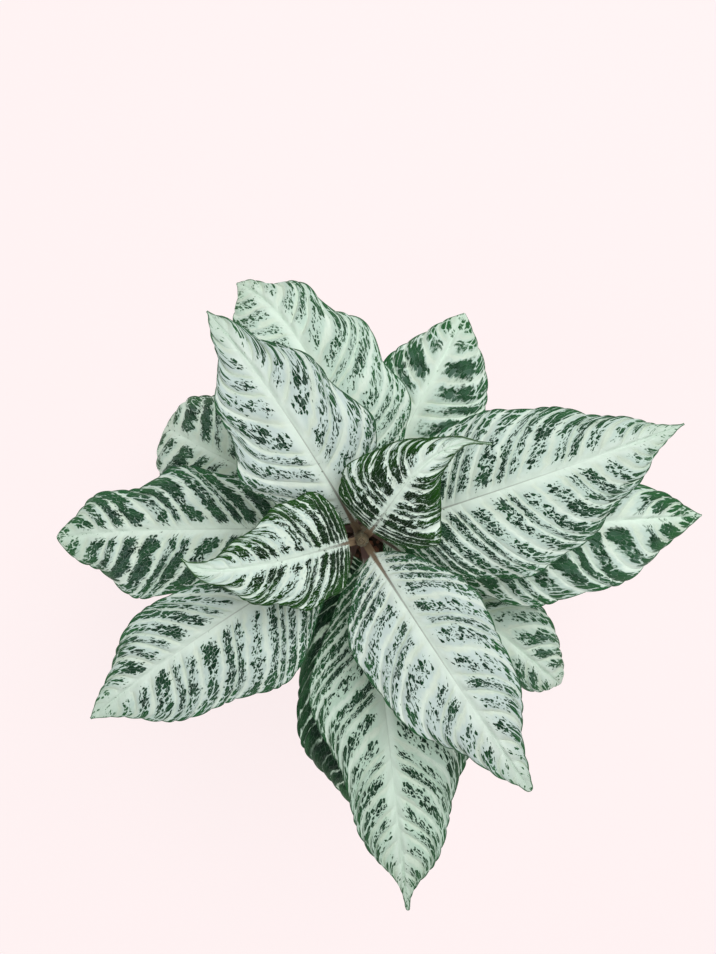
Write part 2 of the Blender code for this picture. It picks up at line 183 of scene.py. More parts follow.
LEAVES = [
    Leaf("leaf_1_northeast", 1, 39, 67, 300, 62, 12, 25, 26.5, start=8, end=-52, widest=0.24,
         full=0.68, lean=0.04, petiole=5, fold=0.3, waves=4, wave=1.2, scallop=0.7,
         left_turn=0.88, right_turn=0.29, veins=17, green=0.47, solid=0.6, fresh=1, mint=0.3,
         film=0.02, tone=1.05),
    Leaf("leaf_1_west", 1, 184, 76, 288, 50, 5, 23, 26, start=5, end=-58, hook=0.2, widest=0.26,
         full=0.5, lean=0.03, petiole=4, fold=0.3, waves=3.7, wave=1.2, scallop=1.1,
         left_turn=0.96, right_turn=0.68, veins=17, green=0.34, solid=0.6, fresh=1, mint=0.3,
         film=0.02, tone=1),
    Leaf("leaf_2_northwest", 2, 124, 125, 266, 42, -20, 31.5, 30, start=-6, end=8, widest=0.35,
         full=0.67, lean=0.02, petiole=7, waves=3.3, scallop=2, right_turn=0.15, sweep=0.85,
         veins=12, green=0.08, solid=0, mint=0, tone=0.93),
    Leaf("leaf_2_southeast", 2, 304, 138, 262, 40, -22, 29.5, 33, widest=0.36, full=0.73,
         lean=0.01, blunt=1.6, petiole=7, waves=2.9, scallop=1, left_turn=0.38, right_turn=0.62,
         veins=15, green=0.1, solid=0, mint=0, tone=0.92),
    Leaf("leaf_3_east", 3, 19, 170, 232, 38, -22, 37, 43, start=2, widest=0.35, full=0.77,
         lean=-0.01, waves=4.8, left_turn=0.37, right_turn=0.5, veins=21, green=0.23, solid=0.2,
         mint=0.4, tone=0.96),
    Leaf("leaf_3_southwest", 3, 214, 161, 236, 34, -14, 41, 25, start=-6, end=6, widest=0.48,
         full=1, lean=-0.04, roll=4, waves=2.3, scallop=2.3, left_turn=0.46, right_turn=0.74,
         veins=20, green=0.22, solid=0.3, mint=0.2, tone=0.95),
    Leaf("leaf_4_south", 4, 277, 211, 195, 34, -28, 43, 34.5, start=2, widest=0.36, full=0.87,
         lean=0.01, blunt=0.9, roll=-6, waves=2.4, scallop=3, left_turn=0.34, right_turn=0.49,
         veins=23, green=0.19, solid=0.3, mint=1, tone=1.02),
    Leaf("leaf_4_north", 4, 117, 155, 185, 34, -50, 42.5, 35.5, start=-28, end=34, widest=0.38,
         full=0.68, lean=0.05, waves=4.3, scallop=2.5, left_turn=0.47, right_turn=0.05, veins=17,
         green=0.05, solid=0.1, mint=0.7, film=0.5, tone=1.09),
    Leaf("leaf_5_east", 5, 2, 197, 175, 28, -22, 37.5, 44, widest=0.42, full=0.78, lean=-0.04,
         roll=-4, waves=3, scallop=1.3, left_turn=0.59, right_turn=0.07, veins=16, green=0.38,
         solid=0.9, mint=0.4, film=0.5, tone=1.1),
    Leaf("leaf_5_west", 5, 182, 176, 175, 28, -22, 39, 32, start=-4, end=6, widest=0.44,
         full=0.57, lean=0.04, waves=3.1, scallop=3.2, left_turn=0.08, right_turn=0.71, veins=18,
         green=0.43, solid=0.6, mint=0.3, film=0.25, tone=1.04),
    Leaf("leaf_6_northeast", 6, 64, 140, 165, 24, -22, 32, 41, start=4, widest=0.41, waves=2.2,
         scallop=0.5, left_turn=0.92, right_turn=0.6, veins=12, green=0.34, solid=1, mint=0.5,
         film=0.6, tone=1.1),
    Leaf("leaf_6_southwest", 6, 270, 176, 150, 20, -30, 34, 29, start=-20, end=6, widest=0.44,
         full=0.65, lean=-0.1, roll=-12, waves=2, scallop=2.2, left_turn=0.29, right_turn=0.92,
         veins=18, green=0.95, solid=1, mint=0.8, film=0, tone=1.4),
    Leaf("leaf_7_northwest", 7, 154, 144, 112, 18, -70, 42, 40, widest=0.5, full=0.63, lean=0.04,
         waves=3.4, scallop=0.8, left_turn=0.98, right_turn=0.25, veins=14, green=0.40, solid=0.6,
         mint=0.6, film=0.35, tone=1.07),
    Leaf("leaf_7_southeast", 7, 321, 168, 122, 16, -60, 30, 28, start=6, widest=0.41, full=0.68,
         lean=0.02, waves=2.1, right_turn=0.5, veins=14, green=0.26, solid=0.5, mint=0.6,
         film=0.6, tone=1.04),
]


def length_property(name, description, default):
    return bpy.props.FloatProperty(
        name=name, description=description, default=default, min=0, precision=5, unit="LENGTH"
    )


def place_property(name, description, default):
    return bpy.props.FloatProperty(
        name=name, description=description, default=default, precision=4, unit="LENGTH"
    )


def count_property(name, description, default, least):
    return bpy.props.IntProperty(name=name, description=description, default=default, min=least)


def colour_property(name, description, default):
    return bpy.props.FloatVectorProperty(
        name=name, description=description, default=default, min=0, max=1, size=3, subtype="COLOR"
    )


class LeafSettings(bpy.types.PropertyGroup):
    """Sizes and colours of the leaves."""

    thickness: length_property("Thickness", "Thickness of the blade beside the midrib", 0.55 * MM)
    edge: length_property("Edge", "Thickness of the blade at its margin", 0.35 * MM)
    quilt: bpy.props.FloatProperty(
        name="Quilting", description="Rise of the blade between two veins, in vein spacings",
        default=0.14, min=0, max=1, subtype="FACTOR",
    )
    frill: length_property("Frill", "How far the margin stands out between two veins", 0.35 * MM)
    groove: length_property("Groove", "Depth of the midrib's groove", 0.5 * MM)
    ridge: length_property("Ridge", "How far each vein stands out below the blade", 0.35 * MM)
    silver: colour_property("Silver", "White between the veins", (0.57, 0.68, 0.65))
    cream: colour_property("Cream", "White along the veins and the midrib", (0.74, 0.84, 0.75))
    mint: colour_property("Mint", "Pale green in the white of older leaves", (0.45, 0.62, 0.48))
    dark: colour_property("Dark green", "Markings in the blade", (0.002, 0.020, 0.008))
    light: colour_property("Light green", "Markings near the margin", (0.022, 0.110, 0.034))
    young: colour_property("Young green", "Markings of the youngest pair", (0.001, 0.012, 0.001))
    young_light: colour_property(
        "Fresh green", "Markings near the margin of the youngest pair", (0.015, 0.080, 0.006)
    )
    brown: colour_property("Midrib line", "Brown line along the midrib", (0.07, 0.04, 0.035))
    stalk: colour_property("Petiole", "Purplish brown of older petioles", (0.15, 0.09, 0.08))
    shoot: colour_property(
        "Young petiole", "Olive brown of the two youngest pairs' petioles", (0.20, 0.145, 0.09)
    )
    # Painted shade: the olive that is laid into the creases along the veins.
    olive: colour_property("Olive", "Tint of the creases along the veins", (0.36, 0.42, 0.24))
    film: colour_property("Film", "Greyish green film on some markings", (0.12, 0.20, 0.165))
    underside: colour_property("Underside", "Pale green of the lower face", (0.30, 0.40, 0.28))


class StemSettings(bpy.types.PropertyGroup):
    """Sizes and colours of the stem and its bud."""

    rows: count_property("Rows", "Rings of the stem", 260, 20)
    sides: count_property("Sides", "Points round the stem", 48, 8)
    ridge: length_property("Ridges", "Height of the fine ridges along the stem", 0.12 * MM)
    bark: colour_property("Bark", "Brown of the old stem", (0.105, 0.075, 0.050))
    shoot: colour_property("Shoot", "Olive of the young stem", (0.13, 0.105, 0.060))
    wart: colour_property("Warts", "Pale brown of the old stem's warts", (0.23, 0.17, 0.115))
    bud: colour_property("Bud", "Brown of the folded leaves in the bud", (0.24, 0.17, 0.10))
    bud_green: colour_property("Bud green", "Green patches on the bud", (0.30, 0.34, 0.22))


class SoilSettings(bpy.types.PropertyGroup):
    """Sizes and colours of the soil and the bark on it."""

    lumps: length_property("Lumps", "Height of the soil's lumps", 1.5 * MM)
    chips: count_property("Chips", "Pieces of bark", 260, 0)
    chip: length_property("Chip", "Length of the longest pieces of bark", 9 * MM)
    peat: colour_property("Peat", "Dark brown of the soil", (0.016, 0.010, 0.007))
    crumb: colour_property("Crumb", "Brown of the soil's dry crumbs", (0.060, 0.034, 0.022))
    grain: colour_property("Grain", "Brown of the soil's lightest grains", (0.11, 0.055, 0.035))
    bark: colour_property("Bark", "Reddish brown of the bark", (0.165, 0.062, 0.036))


class PotSettings(bpy.types.PropertyGroup):
    """Sizes and colours of the clay pot."""

    wall: length_property("Wall", "Thickness of the wall", 4.5 * MM)
    floor: length_property("Floor", "Thickness of the floor", 7 * MM)
    rim: length_property("Rim", "Height of the rim", 20 * MM)
    step: length_property("Step", "How far the rim stands out", 3 * MM)
    drain: length_property("Drain", "Radius of the three holes in the floor", 4 * MM)
    clay: colour_property("Clay", "Terracotta", (0.46, 0.19, 0.105))
    pale: colour_property("Pale clay", "Dry, lighter patches", (0.58, 0.32, 0.21))
    bloom: colour_property("Bloom", "Chalky bloom of minerals", (0.66, 0.54, 0.45))
    speck: colour_property("Specks", "Dark specks in the clay", (0.20, 0.09, 0.055))


class StageSettings(bpy.types.PropertyGroup):
    """Camera, light and floor."""

    height: length_property("Camera height", "Height of the camera above the ground", 0.588)
    east: place_property("Camera east", "Place of the camera along X", -0.0018)
    north: place_property("Camera north", "Place of the camera along Y", 0.0289)
    lens: bpy.props.FloatProperty(
        name="Lens", description="Focal length in millimetres", default=27, min=1, unit="CAMERA"
    )
    sky: bpy.props.FloatProperty(
        name="Sky", description="Strength of the light from all round", default=0.48, min=0
    )
    key: bpy.props.FloatProperty(
        name="Key", description="Power of the large light overhead", default=11, min=0, unit="POWER"
    )
    paper: colour_property("Paper", "Pale pink of the floor", (1.0, 0.889, 0.892))


def both_ways(operation):
    """The two methods of an operator: with a value on its left, and only on its right."""
    return (
        lambda value, other: value.paint.math(operation, value, other),
        lambda value, other: value.paint.math(operation, other, value),
    )


class Value:
    """A number in a material. Sums, products and the like of it add Math nodes."""

    __add__, __radd__ = both_ways("ADD")
    __sub__, __rsub__ = both_ways("SUBTRACT")
    __mul__, __rmul__ = both_ways("MULTIPLY")
    __truediv__, __rtruediv__ = both_ways("DIVIDE")
    __pow__, __rpow__ = both_ways("POWER")

    def __init__(self, paint, socket):
        self.paint = paint
        self.socket = socket

    def __abs__(self):
        return self.math("ABSOLUTE")

    def math(self, operation, *others):
        """A Math node with this value first and the others after it."""
        return self.paint.math(operation, self, *others)

    def ridge(self):
        """1 midway between two whole numbers and 0 on them, in straight slopes."""
        return 1 - abs(self.math("FRACT") * 2 - 1)

    def clamped(self):
        """The value held between 0 and 1."""
        return self.math("MAXIMUM", 0).math("MINIMUM", 1)

    def step(self, low, high):
        """Rises smoothly from 0 at low to 1 at high, or falls where low is the larger."""
        sockets = {"Value": self, "From Min": low, "From Max": high}
        return self.paint.value("MapRange", {"interpolation_type": "SMOOTHSTEP"}, sockets)


class Paint:
    """Builds the nodes of one material round its Principled shader."""

    def __init__(self, name, roughness, specular=0.5):
        self.material = bpy.data.materials.new(name)
        self.material.use_nodes = True
        self.tree = self.material.node_tree
        self.shader = self.tree.nodes["Principled BSDF"]
        self.shader.inputs["Roughness"].default_value = roughness
        self.shader.inputs["Specular IOR Level"].default_value = specular

    def node(self, kind, settings, sockets):
        """A node of a kind, with its settings set first and then the values or links of its
        sockets, which are named or counted."""
        made = self.tree.nodes.new("ShaderNode" + kind)
        for name, value in settings.items():
            setattr(made, name, value)
        for key, value in sockets.items():
            self.feed(made.inputs[key], value)
        return made

    def feed(self, socket, value):
        """Links a value, or sets a constant, on a socket."""
        if isinstance(value, Value):
            self.tree.links.new(value.socket, socket)
        elif socket.type == "RGBA":
            socket.default_value = (*value, 1)
        else:
            socket.default_value = value

    def value(self, kind, settings, sockets, output=0):
        """One output of a new node, its first unless another is asked for."""
        return Value(self, self.node(kind, settings, sockets).outputs[output])

    def math(self, operation, *values):
        sockets = dict(enumerate(values))
        return self.value("Math", {"operation": operation}, sockets)

    def vector(self, x, y, z=0):
        return self.value("CombineXYZ", {}, {"X": x, "Y": y, "Z": z})

    def parts(self, vector):
        """The three numbers of a vector."""
        split = self.node("SeparateXYZ", {}, {"Vector": vector})
        return [Value(self, output) for output in split.outputs]

    def uv(self, name):
        """The two numbers of a UV map."""
        return self.parts(self.value("UVMap", {"uv_map": name}, {}))[:2]

    def attribute(self, name):
        """A number that the piece holds at each of its points."""
        return self.value("Attribute", {"attribute_name": name}, {}, "Fac")

    def place(self):
        """The point's own place, in metres."""
        return self.value("TexCoord", {}, {}, "Object")

    def scaled(self, vector, scale):
        """A vector with each of its three numbers multiplied by one of its own."""
        return self.value("VectorMath", {"operation": "MULTIPLY"}, {0: vector, 1: scale})

    def noise(self, vector, scale=1, detail=2, roughness=0.5, flat=False):
        """Cloudy noise round 0, mostly between -0.3 and 0.3."""
        settings = {"noise_dimensions": "2D" if flat else "3D"}
        sockets = {"Vector": vector, "Scale": scale, "Detail": detail, "Roughness": roughness}
        return self.value("TexNoise", settings, sockets, "Fac") - 0.5

    def cells(self, vector, scale=1, feature="DISTANCE_TO_EDGE", flat=False):
        """Distance to the nearest border, or to the middle, of randomly laid cells."""
        settings = {"voronoi_dimensions": "2D" if flat else "3D", "feature": feature}
        return self.value("TexVoronoi", settings, {"Vector": vector, "Scale": scale}, "Distance")

    def cell(self, vector):
        """Of the randomly laid cell round a point on the plane: where its middle is along the first
        axis, and two chances between 0 and 1."""
        settings = {"voronoi_dimensions": "2D", "feature": "F1"}
        laid = self.node("TexVoronoi", settings, {"Vector": vector, "Scale": 1})
        middle = self.parts(Value(self, laid.outputs["Position"]))[0]
        return middle, *self.parts(Value(self, laid.outputs["Color"]))[:2]

    def mix(self, first, second, factor):
        """The first colour where the factor is 0 and the second where it is 1."""
        return self.value("Mix", {"data_type": "RGBA"}, {0: factor, 6: first, 7: second}, 2)

    def tint(self, colour, brightness):
        """A colour made lighter or darker by a number."""
        return self.value("VectorMath", {"operation": "SCALE"}, {0: colour, 3: brightness})

    def finish(self, colour, roughness=None, height=None, distance=0.1 * MM):
        """Links the colour, the roughness, and a height that becomes the normal through a Bump."""
        self.feed(self.shader.inputs["Base Color"], colour)
        if roughness is not None:
            self.feed(self.shader.inputs["Roughness"], roughness)
        if height is not None:
            bump = self.value("Bump", {}, {"Distance": distance, "Height": height})
            self.feed(self.shader.inputs["Normal"], bump)
        return self.material


def smooth_step(value):
    """3 v squared less 2 v cubed, with v held between 0 and 1."""
    value = np.clip(value, 0, 1)
    return value * value * (3 - 2 * value)


def direction(azimuth, slope):
    """Unit vector that points at an azimuth and climbs at a slope, both in degrees."""
    a, s = math.radians(azimuth), math.radians(slope)
    return np.array([math.cos(a) * math.cos(s), math.sin(a) * math.cos(s), math.sin(s)])


def quads(index):
    """The four-cornered faces between neighbours in a 2-D array of point numbers or values."""
    corners = [index[:-1, :-1], index[:-1, 1:], index[1:, 1:], index[1:, :-1]]
    return np.stack(corners, axis=2).reshape(-1, 4)


def make_mesh(name, points, faces):
    """A mesh from arrays of points and of four-cornered faces. A corner that is given twice makes
    the face a triangle. Also returns which points are used and which corners are kept."""
    mesh = bpy.data.meshes.new(name)
    doubled = faces == np.roll(faces, -1, axis=1)
    totals = 4 - doubled.sum(axis=1)
    kept = ~doubled.ravel()
    used, corners = np.unique(faces.ravel()[kept], return_inverse=True)
    mesh.vertices.add(len(used))
    mesh.vertices.foreach_set("co", np.asarray(points, np.float32)[used].ravel())
    mesh.loops.add(len(corners))
    mesh.loops.foreach_set("vertex_index", corners.astype(np.int32))
    mesh.polygons.add(len(faces))
    starts = np.concatenate([[0], np.cumsum(totals)[:-1]])
    mesh.polygons.foreach_set("loop_start", starts.astype(np.int32))
    mesh.update(calc_edges=True)
    return mesh, used, kept


def add_object(name, data):
    """A new object in the scene, at the origin."""
    made = bpy.data.objects.new(name, data)
    bpy.context.scene.collection.objects.link(made)
    return made


def add_piece(name, points, faces, look, replaces=(), uvs=None, values=None, sharp=50):
    """Adds one piece and says where it belongs. UV maps hold a pair of numbers for each corner of
    a face, and values a number for each point. Edges sharper than an angle in degrees stay so."""
    mesh, used, kept = make_mesh(name, points, faces)
    for layer, pairs in (uvs or {}).items():
        made = mesh.uv_layers.new(name=layer)
        made.uv.foreach_set("vector", pairs.reshape(-1, 2)[kept].astype(np.float32).ravel())
    for attribute, numbers in (values or {}).items():
        made = mesh.attributes.new(attribute, "FLOAT", "POINT")
        made.data.foreach_set("value", np.asarray(numbers, np.float32)[used])
    mesh.materials.append(look)
    mesh.shade_smooth()
    mesh.set_sharp_from_angle(angle=math.radians(sharp))
    piece = add_object(name, mesh)
    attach(piece, BODY)
    if replaces:
        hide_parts(*replaces)
    return piece


def stem_radius(height):
    """Radius between two nodes: it tapers in a straight line from the soil to the youngest pair."""
    share = np.clip((height - SOIL_TOP) / (PAIR_HEIGHTS[0] - SOIL_TOP), 0, 1)
    return STEM_FOOT_RADIUS + (STEM_TOP_RADIUS - STEM_FOOT_RADIUS) * share


def bezier(control, t):
    """Points and unit tangents of a cubic curve at the parameters t."""
    t = t[:, None]
    points = np.hstack([(1 - t) ** 3, 3 * t * (1 - t) ** 2, 3 * t * t * (1 - t), t**3]) @ control
    slopes = np.hstack([(1 - t) ** 2, 2 * t * (1 - t), t * t]) @ np.diff(control, axis=0)
    return points, slopes / np.linalg.norm(slopes, axis=1, keepdims=True)


def midrib_controls(leaf):
    """The midrib's four control points, from the stem's node to the tip."""
    height = PAIR_HEIGHTS[leaf.pair - 1]
    root = direction(leaf.azimuth + leaf.start, 0) * (stem_radius(height) + NODE_SWELL + GAP)
    root[2] = height
    tip = direction(leaf.azimuth, 0) * leaf.reach * MM
    tip[2] = leaf.tip * MM
    chord = np.linalg.norm(tip - root)
    after_root = root + direction(leaf.azimuth + leaf.start, leaf.rise) * HOLD * chord
    before_tip = tip - direction(leaf.azimuth + leaf.end, leaf.dip) * leaf.hook * chord
    return np.array([root, after_root, before_tip, tip])


class Midrib:
    """A leaf's midrib, measured along its length. Shares of the blade are 0 where it meets the
    petiole and 1 at the tip, and are negative in the petiole."""

    def __init__(self, leaf):
        self.controls = midrib_controls(leaf)
        self.t = np.linspace(0, 1, CURVE_STEPS + 1)
        steps = np.linalg.norm(np.diff(bezier(self.controls, self.t)[0], axis=0), axis=1)
        self.length = steps.sum()
        self.run = np.concatenate([[0], np.cumsum(steps)]) / self.length
        self.petiole = leaf.petiole * MM / self.length
        self.first = -self.petiole / (1 - self.petiole)

    def share(self, b):
        """Share of the whole midrib, petiole included, at share b of the blade."""
        return self.petiole + (1 - self.petiole) * b

    def at(self, b):
        """Points and unit tangents at an array of shares of the blade."""
        t = np.interp(self.share(b), self.run, self.t)
        points, tangents = bezier(self.controls, t.ravel())
        return points.reshape(*b.shape, 3), tangents.reshape(*b.shape, 3)


def ripple(leaf, b, side):
    """Waves of the margin, between -1 and 1, which die out at both ends of the blade."""
    turn = leaf.left_turn if side < 0 else leaf.right_turn
    fade = smooth_step(b / WAVE_FADE) * smooth_step((1 - b) / WAVE_FADE)
    return np.sin(2 * np.pi * (leaf.waves * b + turn)) * fade


def blade_half_width(leaf, b, side):
    """Half width of the blade at share b of its length: b to the power leaf.full, times (1 - b) to
    the power that puts the widest place at leaf.widest, scaled to the side's own half width, with
    b shifted by leaf.lean. It is joined as in a right triangle to the half width of the petiole,
    which narrows to the tip's, and to which a blunt tip adds a rounded end. The crests of the
    waves stand out sideways."""
    most = (leaf.left if side < 0 else leaf.right) * MM
    stalk = TIP_HALF_WIDTH + (PETIOLE_HALF_WIDTH - TIP_HALF_WIDTH) * (1 - smooth_step(2 * b))
    leant = b + side * leaf.lean * 4 * b * (1 - b)
    before, after = leaf.full, leaf.full * (1 - leaf.widest) / leaf.widest
    shape = (leant / leaf.widest) ** before * ((1 - leant) / (1 - leaf.widest)) ** after
    round_end = np.sqrt(np.clip((1 - b) / BLUNT_END, 0, 1))
    blunt = leaf.blunt * MM * round_end * smooth_step((b - BLUNT_START) / BLUNT_GROWTH)
    return np.hypot(most * shape, stalk + blunt) + leaf.scallop * MM * ripple(leaf, b, side)


def half_blade(leaf, midrib, b, w, side, frill=0):
    """Smooth upper side of one half, at shares b of the blade's length and w of its half width.
    It rises from the midrib by leaf.fold, less by leaf.droop towards the margin, which waves and
    has a frill. Also returns the offsets from the midrib."""
    points, tangents = midrib.at(b)
    across = np.cross(tangents, [0, 0, 1])
    across /= np.linalg.norm(across, axis=2, keepdims=True)
    up = np.cross(across, tangents)
    blade = np.clip(b, 0, 1)
    roll = np.radians(leaf.roll * smooth_step(2 * blade))[..., None]
    outwards = side * (across * np.cos(roll) + up * np.sin(roll))
    upwards = up * np.cos(roll) - across * np.sin(roll)
    offset = w * blade_half_width(leaf, blade, side) + frill * w**4
    slope = (leaf.fold - leaf.droop * w) * smooth_step(blade / WAVE_FADE)
    rise = offset * slope + leaf.wave * MM * ripple(leaf, blade, side) * w**2 + frill * w**4
    level = offset / np.sqrt(1 + slope**2)
    return points + outwards * level[..., None] + upwards * rise[..., None], offset


def vein_grid(leaf, midrib):
    """The grid that every leaf is laid on: shares m of the blade where a row leaves the midrib,
    the rows' vein numbers, and the columns' shares of the half width. A row's vein number is
    leaf.veins times m to the power CROWDING, shifted by a slow wave so that the veins are unevenly
    spaced, and rows in the petiole have number 0."""
    number = np.linspace(0, leaf.veins, leaf.veins * ROWS_PER_VEIN + 1)
    stray = STRAY * np.sin(STRAY_PACE * number + leaf.azimuth)
    uneven = stray * np.sin(np.pi * number / leaf.veins)
    blade = ((number + uneven) / leaf.veins) ** (1 / CROWDING)
    petiole = np.linspace(midrib.first, 0, PETIOLE_ROWS, endpoint=False)
    m = np.concatenate([petiole, blade])
    number = np.concatenate([0 * petiole, number])
    w = np.linspace(0, 1, HALF_COLUMNS + 1) ** COLUMN_CROWDING
    return m[:, None], number[:, None], w[None, :]


def swept(leaf, m, w):
    """Share of the blade's length that a vein from share m of the midrib has reached at share w
    of the half width. It sweeps forwards by parts of w, its square and its fourth power, so
    gently at first and sharply at the margin, and it wanders a little on the way."""
    bend = 0.5 * w + 0.2 * w**2 + 0.3 * w**4
    start = np.clip(m, 0, 1)
    wander = np.sin(8 * w + 60 * start + leaf.azimuth) * w * (1 - w) * 0.25 / leaf.veins
    return m + (leaf.sweep * bend + wander) * start**SWEEP_START * (1 - start)


def relief_ends(m):
    """How strong the relief is at share m of the blade: 0 at both ends and 1 between them."""
    return smooth_step(m / RELIEF_BASE) * smooth_step((1 - m) / RELIEF_TIP)


def quilting(leaf, midrib, m, number, w, settings):
    """Rise of the blade between two veins, as a rounded ridge from vein to vein, and height of the
    narrow ridge that each vein makes under the blade. Both fade at the midrib and at the blade's
    ends, and weaken towards the margin."""
    spacing = midrib.length / (leaf.veins * CROWDING) * np.clip(m, 0, 1) ** (1 - CROWDING)
    between = np.abs(np.sin(np.pi * number))
    ends = relief_ends(m)
    weaker = 0.7 * smooth_step((w - RELIEF_MARGIN) / 0.3)
    sides = smooth_step(w / RELIEF_MIDRIB) * (1 - weaker)
    rise = settings.quilt * spacing * between**0.75 * ends * sides
    ridge = settings.ridge * np.exp(-((between / VEIN_WIDTH) ** 2)) * ends * sides
    return rise, ridge


def rib_thickness(midrib, b, w, offset, settings):
    """Thickness of the leaf: that of the blade, which thins towards the margin, and the midrib's
    keel under it, a bell curve over the offset that is deep at the stem and shallow at the tip. The
    petiole's keel is a little wider and squarer."""
    taper = smooth_step(midrib.share(b))
    half = RIB_HALF_WIDTH + (RIB_TIP_HALF_WIDTH - RIB_HALF_WIDTH) * taper
    depth = RIB_DEPTH + (RIB_TIP_DEPTH - RIB_DEPTH) * taper
    blade = settings.thickness + (settings.edge - settings.thickness) * smooth_step(w)
    stalk = 1 - smooth_step(b / PETIOLE_RUN_OUT)
    keel = np.exp(-np.abs(offset / (half * (1 + 0.15 * stalk))) ** (2 + stalk))
    return blade + (depth - settings.thickness) * keel


def seat_on_stem(leaf, grid):
    """Moves the first cross-section level, along the petiole, until it lies round the stem."""
    radius = stem_radius(PAIR_HEIGHTS[leaf.pair - 1]) + NODE_SWELL + GAP
    out = direction(leaf.azimuth + leaf.start, 0)
    side = np.array([-out[1], out[0], 0])
    lateral = grid[0] @ side
    seat = np.sqrt(radius**2 - lateral**2)
    grid[0] = out * seat[:, None] + side * lateral[:, None] + np.outer(grid[0][:, 2], [0, 0, 1])
    return grid


def leaf_surfaces(leaf, settings):
    """The upper and the lower surface as grids of points from the left margin to the right one,
    and for each half the values that its pattern reads: vein number and offset from the midrib,
    share of the blade and distance from the margin, with the lengths in millimetres."""
    midrib = Midrib(leaf)
    m, number, w = vein_grid(leaf, midrib)
    smooth, relief, thickness, patterns = [], [], [], []
    for side in (-1, 1):
        b = swept(leaf, m, w)
        alternate = 0.5 if side < 0 else 0
        numbers = number + alternate + 0 * w
        frill = settings.frill * (np.abs(np.sin(np.pi * numbers)) - 0.5) * relief_ends(m)
        points, offset = half_blade(leaf, midrib, b, w, side, frill)
        rise, ridge = quilting(leaf, midrib, m, numbers, w, settings)
        shallower = 1 - 0.6 * np.clip(b, 0, 1)
        groove = settings.groove * np.exp(-((offset / GROOVE_HALF_WIDTH) ** 2)) * shallower
        smooth.append(points)
        relief.append(rise - groove)
        thickness.append(rib_thickness(midrib, b, w, offset, settings) + ridge + 0.25 * rise)
        half = blade_half_width(leaf, np.clip(b, 0, 1), side)
        veins = np.stack([numbers, offset / MM], axis=2)
        blade = np.stack([b, (half - offset) / MM], axis=2)
        patterns.append({"veins": veins, "blade": blade})
    join = [np.concatenate([a[:, :0:-1], b], axis=1) for a, b in (smooth, relief, thickness)]
    top, rise, thick = join
    normal = np.cross(np.gradient(top, axis=1), np.gradient(top, axis=0))
    normal /= np.linalg.norm(normal, axis=2, keepdims=True)
    upper = top + normal * rise[..., None]
    lower = upper - normal * thick[..., None]
    return seat_on_stem(leaf, upper), seat_on_stem(leaf, lower), patterns


def add_leaf(leaf, settings):
    """One closed mesh: both surfaces, joined round the margin, at the stem and at the tip."""
    upper, lower, patterns = leaf_surfaces(leaf, settings)
    rows, columns = upper.shape[:2]
    above = np.arange(rows * columns).reshape(rows, columns)
    below = above + rows * columns
    middle = columns // 2
    faces, uvs = [], {"veins": [], "blade": []}

    def add_patch(index, pattern, flipped):
        """Faces of one stretch of the surface, with the pattern's values at their corners."""
        turn = slice(None, None, -1) if flipped else slice(None)
        faces.append(quads(index)[:, turn])
        for layer, grid in pattern.items():
            corners = [quads(grid[..., k])[:, turn] for k in (0, 1)]
            uvs[layer].append(np.stack(corners, axis=2))

    for side, pattern in zip((-1, 1), patterns):
        columns_here = slice(middle, None, -1) if side < 0 else slice(middle, None)
        top, bottom = above[:, columns_here], below[:, columns_here]
        margin = np.stack([top[:, -1], bottom[:, -1]], axis=1)
        margin_pattern = {k: np.repeat(v[:, -1:], 2, axis=1) for k, v in pattern.items()}
        add_patch(top, pattern, side < 0)
        add_patch(bottom, pattern, side > 0)
        add_patch(margin, margin_pattern, side < 0)
        for row, at_tip in ((0, False), (-1, True)):
            cap = np.stack([top[row], bottom[row]])
            cap_pattern = {k: np.repeat(v[row][None], 2, axis=0) for k, v in pattern.items()}
            add_patch(cap, cap_pattern, (side > 0) != at_tip)
    points = np.concatenate([upper.reshape(-1, 3), lower.reshape(-1, 3)])
    under = np.repeat([0.0, 1.0], rows * columns)
    uvs = {layer: np.concatenate(pairs) for layer, pairs in uvs.items()}
    add_piece(
        "striped_" + leaf.name, points, np.concatenate(faces), leaf_look(leaf, settings),
        replaces=[leaf.name], uvs=uvs, values={"under": under},
    )


# Bands of the leaves' pattern, in millimetres apart from the last
CLEAR_BAND = 6.5  # white beside the midrib
LOOP_PLACE = 2.4  # distance from the margin to the looping vein beside it
LOOP_HALF_WIDTH = 0.5
GREEN_RIM = 0.8  # width of the green line at the margin
NETTED_BAND = 20  # width of the band at the margin in which a net of veins splits the green
LIGHT_BAND = 13  # width of the band at the margin in which the green is lighter
LIGHT_TIP = 0.74  # share of the blade at which its greener tip starts


class Pattern(NamedTuple):
    """What the colours of a leaf are made of. Each is a Value that changes over the blade."""

    out: Value  # distance from the midrib in millimetres
    along: Value  # share of the blade's length
    edge: Value  # distance from the margin in millimetres
    marks: Value  # above 0 where the blade is green
    between: Value  # 1 midway between two veins and 0 on them
    net: Value  # distance from the border of a small cell, in cells
    cloud: Value  # noise as wide as a stripe
    patchy: Value  # noise as wide as two stripes
    grey: Value  # a number drawn for each small cell, which is greyer where it is high


